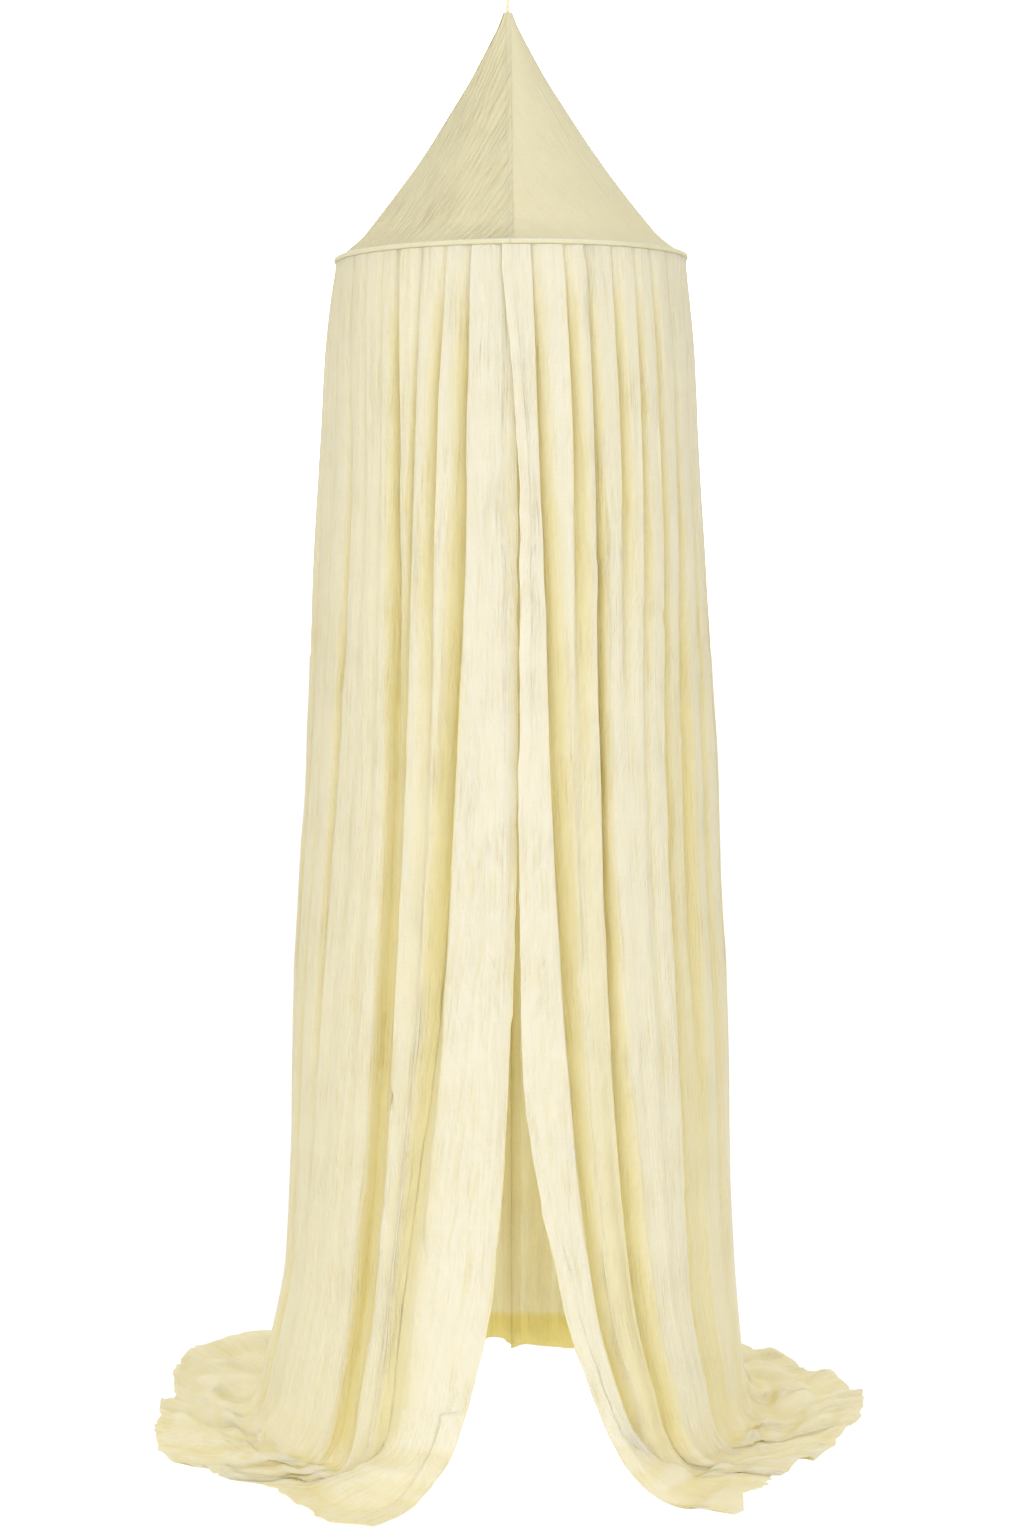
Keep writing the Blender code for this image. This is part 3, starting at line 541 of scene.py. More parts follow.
# Plan of the hanging cloth: height, then radius at the left, right, front and back.
WALL_PLAN = (
    (1.6605, 0.2470, 0.2470, 0.2475, 0.2475),
    (1.637, 0.2500, 0.2490, 0.2500, 0.2500),
    (1.600, 0.2550, 0.2530, 0.2530, 0.2530),
    (1.525, 0.2630, 0.2600, 0.2580, 0.2580),
    (1.400, 0.2710, 0.2660, 0.2660, 0.2650),
    (1.250, 0.2800, 0.2750, 0.2760, 0.2730),
    (1.100, 0.2860, 0.2850, 0.2860, 0.2800),
    (0.950, 0.2930, 0.2960, 0.2960, 0.2860),
    (0.800, 0.3035, 0.3010, 0.3060, 0.2920),
    (0.600, 0.3140, 0.3120, 0.3220, 0.2990),
    (0.400, 0.3190, 0.3160, 0.3380, 0.3050),
    (0.250, 0.3260, 0.3230, 0.3520, 0.3090),
    (0.130, 0.3480, 0.3330, 0.3680, 0.3120),
    (0.028, 0.3750, 0.3450, 0.3880, 0.3120),
)

# One row a fold valley, from the slit edge round to the back seam. Columns: name; degrees from the
# front centre at heights 1.65, 1.30, 0.95, 0.60, 0.25 and 0.03; valley depth in mm at the sleeve and
# at heights 1.45, 0.95 and 0.25; drop in mm of the crest after it at heights 0.95 and 0.25.
LEFT_FOLDS = (
    ("slit_edge", -1.6, -2.0, -1.8, 0.2, 4.5, 13.2, 6.5, 7, 8, 7, 0, 0),
    ("fold_1", 12.4, 12.7, 14.8, 18.8, 25.4, 27.5, 3, 13, 19, 9, 2, 2),
    ("fold_2", 20.4, 22.6, 23.0, 25.0, 29.5, 32.0, 3, 11, 6, 4, 0, 0),
    ("fold_3", 29.0, 28.8, 29.0, 30.4, 33.2, 36.0, 2.5, 9, 20, 20, 20, 22),
    ("fold_4", 37.0, 33.7, 33.6, 34.8, 37.4, 41.0, 3, 14, 20, 21, 0, 0),
    ("fold_5", 44.5, 40.8, 40.6, 42.6, 45.0, 48.5, 1.5, 1.5, 3, 2, 1, 0),
    ("fold_6", 52.5, 46.8, 47.6, 50.4, 53.8, 57.0, 1.5, 2, 2, 2, 1, 0),
    ("fold_7", 60.3, 53.0, 55.0, 58.2, 62.5, 66.0, 2, 6, 11, 2, 0, 1),
    ("fold_8", 68.5, 63.5, 66.0, 69.0, 73.0, 76.5, 1.5, 2, 6, 8, 2, 0),
    ("fold_9", 77.0, 74.5, 77.0, 80.0, 84.0, 88.5, 2, 2.5, 13, 6, 0, 2),
    ("fold_10", 86.0, 86.5, 88.5, 91.5, 95.0, 99.5, 2, 3, 8, 20, 0, 0),
    ("fold_11", 96.0, 97.0, 100.5, 102.5, 106.0, 109.5, 3, 6, 20, 8, 3, 1),
    ("fold_12", 105.0, 109.0, 111.0, 114.5, 117.0, 121.5, 3, 5, 9, 22, 0, 0),
    ("fold_13", 116.0, 119.0, 123.5, 125.0, 128.0, 131.0, 3, 6, 23, 28, 1, 3),
    ("fold_14", 126.0, 131.0, 132.5, 135.5, 139.0, 142.5, 3, 6, 10, 8, 0, 0),
    ("fold_15", 137.0, 141.0, 144.5, 147.0, 149.0, 152.0, 3, 5, 22, 27, 2, 0),
    ("fold_16", 147.5, 153.0, 155.0, 157.5, 159.5, 161.5, 3, 6, 12, 14, 0, 2),
    ("fold_17", 159.0, 164.5, 167.0, 169.0, 169.0, 171.0, 3, 5, 20, 9, 3, 0),
    ("back_seam", 180.0, 180.0, 180.0, 180.0, 180.0, 180.0, 3, 6, 12, 15, 0, 0),
)
RIGHT_FOLDS = (
    ("slit_edge", -2.7, 2.4, 2.0, 2.6, 11.8, 23.8, 0, -1.5, 1, 3, 0, 0),
    ("fold_1", 6.4, 9.0, 10.7, 13.6, 19.4, 29.0, 3, 12, 16, 20, 2, 9),
    ("fold_2", 16.3, 19.0, 19.2, 20.4, 25.6, 34.5, 3, 13, 6, 4, 3, 11),
    ("fold_3", 23.7, 25.4, 24.8, 26.0, 30.4, 39.5, 3, 13, 21, 21, 0, 0),
    ("fold_4", 32.7, 34.6, 33.0, 34.2, 37.4, 45.0, 3, 13, 1, 1, 0, 0),
    ("fold_5", 41.4, 42.2, 39.6, 40.6, 43.2, 50.0, 3, 12, 4, 2, 2, 2),
    ("fold_6", 49.3, 49.9, 46.2, 46.8, 47.6, 54.5, 3, 14, 19, 25, 7, 11),
    ("fold_7", 59.4, 59.2, 56.6, 57.6, 58.8, 65.0, 3, 7, 16, 4, 4, 5),
    ("fold_8", 69.0, 69.4, 67.6, 69.0, 71.0, 76.5, 2.5, 4.5, 9, 6, 0, 0),
    ("fold_9", 79.0, 79.8, 78.8, 80.8, 82.5, 88.0, 2, 3, 13, 3, 0, 1),
    ("fold_10", 88.5, 90.0, 90.6, 92.0, 94.0, 98.5, 2, 3, 9, 16, 1, 0),
    ("fold_11", 98.0, 101.5, 101.5, 104.5, 106.0, 110.5, 3, 6, 19, 9, 0, 2),
    ("fold_12", 109.0, 111.5, 114.5, 115.5, 118.0, 121.0, 3, 5, 8, 24, 2, 0),
    ("fold_13", 119.0, 123.0, 124.0, 128.0, 129.5, 133.0, 3, 6, 21, 18, 0, 2),
    ("fold_14", 130.5, 133.0, 137.0, 138.5, 140.5, 143.0, 3, 6, 11, 7, 3, 0),
    ("fold_15", 141.0, 145.5, 147.0, 150.0, 151.5, 154.0, 3, 5, 22, 25, 0, 1),
    ("fold_16", 152.5, 156.0, 158.5, 160.5, 161.0, 162.5, 3, 6, 9, 13, 2, 0),
    ("fold_17", 165.0, 168.0, 169.5, 171.0, 170.5, 171.5, 3, 5, 19, 10, 0, 1),
    ("back_seam", 180.0, 180.0, 180.0, 180.0, 180.0, 180.0, 3, 6, 12, 15, 0, 0),
)
ANGLE_HEIGHTS = (1.65, 1.30, 0.95, 0.60, 0.25, 0.03)
DEPTH_HEIGHTS = (1.6605, 1.45, 0.95, 0.25)

# The hem on the floor, one row a point: fold number along the cloth, x out to its own side, y back.
LEFT_HEM = (
    (0.00, 0.178, -0.472), (0.22, 0.222, -0.460), (0.52, 0.290, -0.384), (0.84, 0.362, -0.296),
    (1.00, 0.388, -0.290), (1.60, 0.400, -0.276), (2.30, 0.411, -0.252), (3.00, 0.431, -0.239),
    (4.00, 0.465, -0.224), (4.60, 0.486, -0.184), (5.00, 0.498, -0.140), (6.00, 0.512, -0.045),
    (7.00, 0.511, 0.036), (8.00, 0.502, 0.094), (9.00, 0.514, 0.172), (10.00, 0.513, 0.252),
    (11.00, 0.486, 0.338), (12.00, 0.426, 0.408), (13.00, 0.352, 0.444), (14.00, 0.282, 0.482),
    (15.00, 0.214, 0.470), (16.00, 0.142, 0.498), (17.00, 0.074, 0.478), (18.00, 0.000, 0.486),
)
RIGHT_HEM = (
    (0.00, 0.236, -0.414), (0.22, 0.290, -0.442), (0.52, 0.312, -0.388), (0.84, 0.342, -0.332),
    (1.00, 0.357, -0.284), (1.52, 0.378, -0.274), (2.22, 0.394, -0.240), (3.00, 0.424, -0.216),
    (4.00, 0.444, -0.171), (5.00, 0.466, -0.118), (6.00, 0.492, -0.052), (7.00, 0.519, 0.040),
    (8.00, 0.520, 0.088), (9.00, 0.508, 0.118), (10.00, 0.480, 0.186), (11.00, 0.446, 0.230),
    (12.00, 0.424, 0.306), (13.00, 0.386, 0.326), (14.00, 0.330, 0.398), (15.00, 0.262, 0.452),
    (16.00, 0.178, 0.452), (17.00, 0.084, 0.480), (18.00, 0.000, 0.486),
)

# How wide the cloth's fall into each valley is, in mm: on the slit's side and on the far side, at
# heights 1.45, 0.95 and 0.35. 3 mm is a pressed pleat's edge, 20 mm a soft roll.
LEFT_EDGES = (
    (10, 42, 10, 16, 10, 14), (3, 20, 4, 28, 34, 40), (3, 16, 10, 16, 12, 16), (3, 14, 3, 14, 7, 14),
    (3, 20, 6, 12, 6, 8), (6, 10, 12, 14, 12, 14), (6, 12, 12, 16, 14, 18), (3, 14, 5, 18, 14, 16),
    (5, 12, 10, 18, 14, 18), (5, 12, 10, 18, 14, 18),
)
RIGHT_EDGES = (
    (10, 12, 10, 12, 10, 14), (3, 18, 3, 26, 3, 30), (3, 20, 14, 18, 16, 16), (3, 17, 5, 12, 5, 22),
    (3, 18, 14, 16, 16, 16), (3, 17, 12, 14, 16, 16), (3, 18, 3, 24, 3, 26), (4, 14, 12, 20, 14, 22),
    (5, 12, 10, 18, 14, 20), (5, 12, 10, 18, 14, 20),
)
BACK_EDGES = (5, 12, 9, 18, 12, 20)
EDGE_HEIGHTS = (1.45, 0.95, 0.35)

# Creases on the hanging cloth: half width in mm, height in mm, then points as degrees from the front
# and height. A negative height is a groove.
LEFT_CREASES = (
    (5, 3, (44.1, 0.53), (45.5, 0.444), (55.1, 0.362), (63.7, 0.28)),
    (4, -2.5, (58.7, 0.803), (59.1, 0.761), (57.7, 0.637)),
    (5, 2.5, (9.4, 0.819), (4.3, 0.786)),
    (5, 2.5, (8.1, 0.793), (2.2, 0.753)),
    (4, 2, (10.6, 0.759), (5.4, 0.72)),
    (3, 1.5, (4.5, 1.071), (0.3, 1.07)),
    (4, 2, (24.1, 0.529), (18.5, 0.551)),
    (4, 2.2, (24, 0.429), (19, 0.458), (15.4, 0.486)),
    (4, -3.5, (21, 0.444), (21.3, 0.37), (19.1, 0.298)),
    (3.5, -2.5, (31.6, 0.559), (28.9, 0.506), (27.5, 0.433)),
    (4, 2, (2.1, 1.108), (4, 1.071), (3.2, 1.037)),
    (4, 2.2, (4.4, 0.879), (8.2, 0.832), (8.6, 0.793)),
)
RIGHT_CREASES = (
    (5, 2.2, (4.1, 0.63), (7.6, 0.673)),
    (5, 2, (6.9, 0.713), (9.8, 0.66)),
    (4, -2.2, (53.8, 0.766), (54.6, 0.708), (57, 0.637)),
    (4, 2, (55.5, 0.569), (60.9, 0.452)),
    (4, -2.5, (46.2, 1.197), (49.4, 1.148), (54.3, 1.092)),
    (4, 2.2, (63.6, 1.228), (65.9, 1.132), (67.6, 1.039)),
    (5, 2.2, (49.3, 1.053), (56.7, 0.969)),
)

# Creases on the floor: half width in mm, height in mm, then points as x and y.
LEFT_FLOOR_CREASES = (
    (10, 8, (-0.457, 0.239), (-0.347, 0.228)),
    (14, 7, (-0.463, 0.021), (-0.425, 0.090), (-0.379, 0.060)),
    (16, 16, (-0.350, -0.078), (-0.294, -0.049), (-0.233, 0.050), (-0.190, 0.120)),
    (12, 14, (-0.296, -0.215), (-0.244, -0.195), (-0.198, -0.175), (-0.165, -0.060)),
    (9, 9, (-0.409, -0.171), (-0.350, -0.162), (-0.304, -0.144)),
    (8, 7, (-0.392, -0.239), (-0.355, -0.223)),
)
RIGHT_FLOOR_CREASES = (
    (12, 12, (0.172, -0.050), (0.277, -0.124), (0.331, -0.164), (0.382, -0.168)),
    (12, 15, (0.300, 0.026), (0.349, -0.003), (0.393, 0.060), (0.433, 0.100)),
    (8, 7, (0.285, -0.082), (0.333, -0.072), (0.378, -0.095)),
    (8, 7, (0.304, -0.131), (0.356, -0.131)),
    (8, 8, (0.389, 0.011), (0.415, 0.075), (0.447, 0.095)),
    (9, 9, (0.351, 0.186), (0.375, 0.135)),
    (8, 7, (0.369, 0.239), (0.414, 0.233)),
    (8, 7, (0.393, 0.171), (0.427, 0.160)),
    (9, 9, (0.389, -0.184), (0.447, -0.166)),
    (9, 10, (0.172, -0.050), (0.277, -0.109), (0.331, -0.149), (0.382, -0.153)),
    (8, -8, (0.192, -0.017), (0.275, -0.077), (0.329, -0.122)),
    (8, -8, (0.136, 0.045), (0.173, -0.017)),
    (8, -8, (0.262, 0.012), (0.281, -0.091)),
    (9, -8, (0.323, 0.045), (0.357, 0.012)),
)

# An angle between two folds times this radius is the cloth's length from one to the other.
FOLD_RADIUS = 0.28
# The hoop's roll tilts the cloth's rows less and less, down to this height.
ROLL_FADED_HEIGHT = 0.90
# How far a sharp pleat's edge hangs over its valley: a share of the valley's depth, up to a limit.
OVERLAP_SHARE = 0.9
OVERLAP_MOST = 0.0040
OVERLAP_HEIGHTS = (1.66, 1.40, 0.95, 0.35)
OVERLAP_SHARES = (1.0, 1.0, 0.7, 0.6)
# Where the cloth leaves the hanging line to turn on to the floor, and how tight the turn is: tighter
# behind than in front, as less cloth lies there.
BEND_HEIGHT = 0.11
FRONT_BEND_LOW = 0.020
BACK_BEND_LOW = -0.030
FRONT_BEND_REACH = 0.34
FRONT_PANEL_ENDS = 0.92
BACK_BEND_REACH = -0.08
BEND_FRONT_Y = -0.064
BEND_BACK_Y = 0.32
# The cloth on the floor keeps the folds of this height, as low ridges that run out at its hem.
POOL_FOLD_HEIGHT = 0.25
LYING_BY = 0.60
FLAT_SHARE = 0.3
POOL_RIDGE_SHARE = 0.30
HEM_RIDGE = 0.004
# The hanging cloth's rows lie between these heights in m, and more rows follow on the floor. This many
# folds, counted from the slit, have more columns than the rest, and the first one the most.
WALL_TOP = 1.6605
WALL_FOOT = 0.117
WALL_ROW_COUNT = 166
POOL_ROW_COUNT = 54
FRONT_FOLDS = 9
FRONT_PANEL_COLUMNS = 26
# The hem: how far its columns and rows lie from the cloth's edge, how wide it is sewn, how much thicker
# it is than the cloth, and the width of the turn at its inner edge, in m.
HEM_STEPS = (0.0, 0.0015, 0.0070, 0.0120, 0.0138)
HEM_WIDTH = 0.0125
HEM_THICKER = 0.0005
HEM_TURN = 0.0008
# The hem's columns on the floor are placed by the length of this many columns. They cover only part of
# the front fold, so the hem lies wider there than on the hanging cloth.
HEM_GUIDE_COLUMNS = 17
# At the back seam the left width goes this far past the middle and stands this far proud, in m.
BACK_LAP = 0.0008
BACK_LAP_PROUD = 0.0010
# Painted shade on the inner face: how full and dark its colour is painted, and how much more near the floor, up
# to this height.
INNER_PAINTED_SHADE = 0.35
INNER_FOOT_PAINTED_SHADE = 1.20
INNER_FOOT_HEIGHT = 0.070


def fold_values(folds, edges, height):
    """At one height, for every fold: its angle in radians, valley depth and crest drop in m, and the
    width of the fall on both its sides in m."""
    table = np.array([row[1:] for row in folds], float)
    angles = np.array([smooth_at(height, ANGLE_HEIGHTS, row[0:6]) for row in table])
    depths = np.array([smooth_at(height, DEPTH_HEIGHTS, row[6:10]) for row in table])
    drops = np.array([smooth_at(height, DEPTH_HEIGHTS, (0.0, 0.0, row[10], row[11])) for row in table])
    widths = np.array(list(edges) + [BACK_EDGES] * (len(folds) - len(edges)), float).reshape(-1, 3, 2)
    widths = np.array([[smooth_at(height, EDGE_HEIGHTS, row[:, half]) for half in (0, 1)] for row in widths])
    angles = np.radians(angles)
    room = np.diff(angles) * FOLD_RADIUS * 1000 / (widths[:-1, 1] + widths[1:, 0])
    widths[:-1, 1] *= np.minimum(1.0, 0.94 * room)
    widths[1:, 0] *= np.minimum(1.0, 0.94 * room)
    return angles, depths / 1000, drops / 1000, widths / 1000


def relief(values, at, height):
    """How far the cloth stands below its crest line, how far it is pushed away from the slit where a sharp edge
    hangs over its valley, and how much painted shade the fold puts in its colour, up to 1.25."""
    angles, depths, drops, widths = values
    span = np.diff(angles) * FOLD_RADIUS
    first = np.clip(np.floor(at).astype(int), 0, len(depths) - 2)
    part = at - first
    drop = drops[first]
    sharp = (widths[:, 1] - widths[:, 0]) / (widths[:, 1] + widths[:, 0])
    sharp[0] = sharp[-1] = 0.0
    overlap = np.minimum(OVERLAP_SHARE * depths, OVERLAP_MOST) * sharp
    overlap = overlap * smooth_at(height, OVERLAP_HEIGHTS, OVERLAP_SHARES)
    shape, push = -drop, 0.0
    # Painted shade under a dropped crest and down each valley, more in deep ones.
    painted_shade = np.clip(drop / 0.016, 0, 0.8)
    for valley, side, way in ((first, 1, -1), (first + 1, 0, 1)):
        away = (part if side else 1 - part) * span[first] / widths[valley, side]
        shape = shape - (depths[valley] - drop) * (1 - smooth_step((away - 0.10) / 0.90))
        painted_dip_shade = 1 - smooth_step((away - 0.2) / 1.4)
        painted_dip_shade = painted_dip_shade * smooth_step((depths[valley] - 0.001) / 0.010) * (valley > 0)
        painted_dip_shade = painted_dip_shade * (1 + 0.25 * smooth_step((depths[valley] - 0.010) / 0.010))
        painted_shade = np.maximum(painted_shade, painted_dip_shade)
        edge = 0.6 * np.exp(-(((away - 0.85) / 0.45) ** 2)) * (overlap[valley] * way > 0)
        push = push + overlap[valley] * (edge - 0.5 * (1 - smooth_step(away)))
    return shape, push, painted_shade


def wall_radius(height, angles, side):
    """Distance of the crest line from the middle at one height, by angle from the front."""
    plan = np.array(WALL_PLAN)
    flank = smooth_at(height, plan[:, 0], plan[:, 1 if side < 0 else 2])
    front = smooth_at(height, plan[:, 0], plan[:, 3])
    back = smooth_at(height, plan[:, 0], plan[:, 4])
    turn = np.cos(angles)
    return flank + (np.where(turn > 0, front, back) - flank) * turn * turn


def wall_line(values, at, height, side, flat):
    """The cloth's crest surface, or with flat False its folded surface, round one height."""
    angles = values[0]
    theta = smooth_at(at, np.arange(len(angles)), angles)
    radius = wall_radius(height, theta, side)
    if not flat:
        shape, push, _ = relief(values, at, height)
        theta = theta + push / radius
        radius = radius + shape
    fade = smooth_at(height, (HOOP_HEIGHT, ROLL_FADED_HEIGHT), (1.0, 0.0))
    x = side * radius * np.sin(theta)
    z = np.full_like(x, height) + math.tan(math.radians(HOOP_ROLL_DEG)) * x * fade
    return np.stack([x + HOOP_SHIFT_X, -radius * np.cos(theta), z], axis=1)


def columns_at(first_length, values):
    """Where the columns lie across the folds: close together over the slit's hem and at the edges."""
    angles, _, _, widths = values
    span = np.diff(angles) * FOLD_RADIUS
    hem = np.array(HEM_STEPS) / first_length
    lines = [hem]
    for k in range(len(span)):
        a, b = widths[k, 1] / span[k], widths[k + 1, 0] / span[k]
        if k < FRONT_FOLDS:
            middle = np.linspace(a, 1 - b, 7 if k else FRONT_PANEL_COLUMNS)[1:-1]
            steps = np.concatenate([np.array([0.25, 0.6, 1.0]) * a, middle,
                                    1 - np.array([1.0, 0.6, 0.25, 0.0]) * b])
        else:
            steps = np.concatenate([np.array([0.5, 1.0]) * a, np.linspace(a, 1 - b, 5)[1:-1],
                                    1 - np.array([1.0, 0.5, 0.0]) * b])
        lines.append(k + steps if k else hem[-1] + (1 - hem[-1]) * steps)
    return np.concatenate(lines)


def pool_frame(folds, edges, at, hem_line, side):
    """The four guide points of the cloth that turns on to the floor, for each column."""
    start, front, back = (
        wall_line(fold_values(folds, edges, max(height, 0.0)), at, height, side, True)
        for height in (BEND_HEIGHT, FRONT_BEND_LOW, BACK_BEND_LOW)
    )
    rear = np.interp(front[:, 1:2], (BEND_FRONT_Y, BEND_BACK_Y), (0.0, 1.0))
    rear = np.maximum(rear, 0.75 * smooth_step((at - FRONT_PANEL_ENDS) / 0.2)[:, None])
    below = front + (back - front) * rear
    reach = FRONT_BEND_REACH + (BACK_BEND_REACH - FRONT_BEND_REACH) * rear
    number, hem_out, hem_back = np.array(hem_line).T
    hem_x = side * smooth_at(at, number, hem_out) + HOOP_SHIFT_X
    hem = np.stack([hem_x, smooth_at(at, number, hem_back), np.zeros(len(at))], axis=1)
    lay = below + reach * (hem - below)
    lay[:, 2] = 0.0
    return start, below, lay, hem


def curtain_grids(folds, edges, hem_line, patch_ridge, side):
    """The cloth's points, where each lies on the flat cloth, how far each is on to the floor from 0 to 1, its
    distance from the slit's edge and from the foot's, and how much painted shade its colour takes."""
    rows, ats, painted_shades, lying_rows = [], [], [], []
    for height in WALL_TOP + (WALL_FOOT - WALL_TOP) * np.linspace(0, 1, WALL_ROW_COUNT) ** 1.04:
        values = fold_values(folds, edges, height)
        at = columns_at((values[0][1] - values[0][0]) * FOLD_RADIUS, values)
        rows.append(wall_line(values, at, height, side, False))
        painted_shades.append(relief(values, at, height)[2])
        ats.append(at)
    flat_above = wall_line(values, at, WALL_FOOT + 0.03, side, True)
    low = fold_values(folds, edges, POOL_FOLD_HEIGHT)
    hems = np.array(HEM_STEPS)[::-1]
    for k in range(POOL_ROW_COUNT + len(hems)):
        at = ats[-1] if k == 0 else lying_rows[-1][0]
        for _ in range(2):
            start, below, lay, hem = pool_frame(folds, edges, at, hem_line, side)
            slope = 3 * np.linalg.norm(hem - lay, axis=1)
            if k < POOL_ROW_COUNT:
                t = (1 - hems[0] / slope) * k / POOL_ROW_COUNT
            else:
                t = 1 - hems[k - POOL_ROW_COUNT] / slope
            t = t[:, None]
            point = start * (1 - t) ** 3 + below * 3 * t * (1 - t) ** 2
            point = point + lay * 3 * t * t * (1 - t) + hem * t ** 3
            front_line = np.diff(point[:HEM_GUIDE_COLUMNS], axis=0)
            at = columns_at(float(np.linalg.norm(front_line, axis=1).sum()), low)
        lying_rows.append((at, t[:, 0], point))
    flat_pool = np.array([flat_above] + [point for _, _, point in lying_rows])
    flat_normal = grid_normals(flat_pool, side)[1:]
    flat_along = unit(np.gradient(flat_pool, axis=1)[1:])
    depths = low[1]
    for (at, t, point), normal, along in zip(lying_rows, flat_normal, flat_along):
        shape, push, painted_shade = relief(low, at, BEND_HEIGHT)
        level = np.interp(at, np.arange(len(depths)), depths)
        ridge = np.maximum(shape + level * (1 - FLAT_SHARE), 0.0) / (1 - FLAT_SHARE)
        wave = HEM_RIDGE * np.maximum(np.cos(2 * math.pi * (at - 0.5)) * 0.5 + 0.3, 0.0)
        lying = smooth_step(t / LYING_BY)
        share = POOL_RIDGE_SHARE + (patch_ridge - POOL_RIDGE_SHARE) * smooth_step((1.02 - at) / 0.02)
        raised = ridge * share * (1 - t) ** 1.3 + wave * t
        # The painted shade of the folds fades out as the cloth lies down on the floor.
        painted_shades.append(painted_shade * smooth_step((0.50 - t) / 0.45))
        out = (shape * (1 - lying) + raised * lying)[:, None]
        rows.append(point + normal * out + along * (push * (1 - lying))[:, None])
        ats.append(at)
    grid, ats = np.array(rows), np.array(ats)
    lying = np.zeros(grid.shape[:2])
    lying[WALL_ROW_COUNT:] = np.array([t for _, t, _ in lying_rows])
    steps = np.linalg.norm(np.diff(grid, axis=0), axis=2)
    down = np.concatenate([np.zeros((1, grid.shape[1])), np.cumsum(steps, axis=0)])
    middle = WALL_ROW_COUNT // 2
    wide = np.interp(ats, ats[middle], distance_along(grid[middle]))
    wide[:, :len(HEM_STEPS)] = HEM_STEPS
    return grid, np.stack([wide, down], axis=-1), lying, wide, down[-1:] - down, np.array(painted_shades)


def hollowness(points, place, normal, reach):
    """How far each point lies below the cloth's own mean within reach to both sides of it, in m, where
    place is the distance along each line of points."""
    below = np.zeros(place.shape)
    for k, (line, at) in enumerate(zip(points, place)):
        weight = np.exp(-(((at[:, None] - at) / reach) ** 2)) * np.gradient(at)
        mean = weight @ line / weight.sum(axis=1, keepdims=True)
        below[k] = ((mean - line) * normal[k]).sum(axis=1)
    return below


def crease_lift(across, up, creases):
    """Height of the creases at points given across and up, in m, each line soft at its ends."""
    lift = np.zeros(across.shape)
    for half_mm, height_mm, *points in creases:
        nearest = np.full(across.shape, 9.0)
        reached = np.zeros(across.shape)
        total = sum(math.dist(a, b) for a, b in zip(points, points[1:]))
        done = 0.0
        for a, b in zip(points, points[1:]):
            length = math.dist(a, b)
            t = ((across - a[0]) * (b[0] - a[0]) + (up - a[1]) * (b[1] - a[1])) / length ** 2
            t = np.clip(t, 0.0, 1.0)
            gap = np.hypot(across - a[0] - t * (b[0] - a[0]), up - a[1] - t * (b[1] - a[1]))
            reached = np.where(gap < nearest, (done + t * length) / total, reached)
            nearest = np.minimum(gap, nearest)
            done += length
        ends = smooth_step(reached / 0.25) * smooth_step((1 - reached) / 0.25) * 0.8 + 0.2
        lift += height_mm / 1000 * bump(nearest, half_mm / 1000) * ends
    return lift


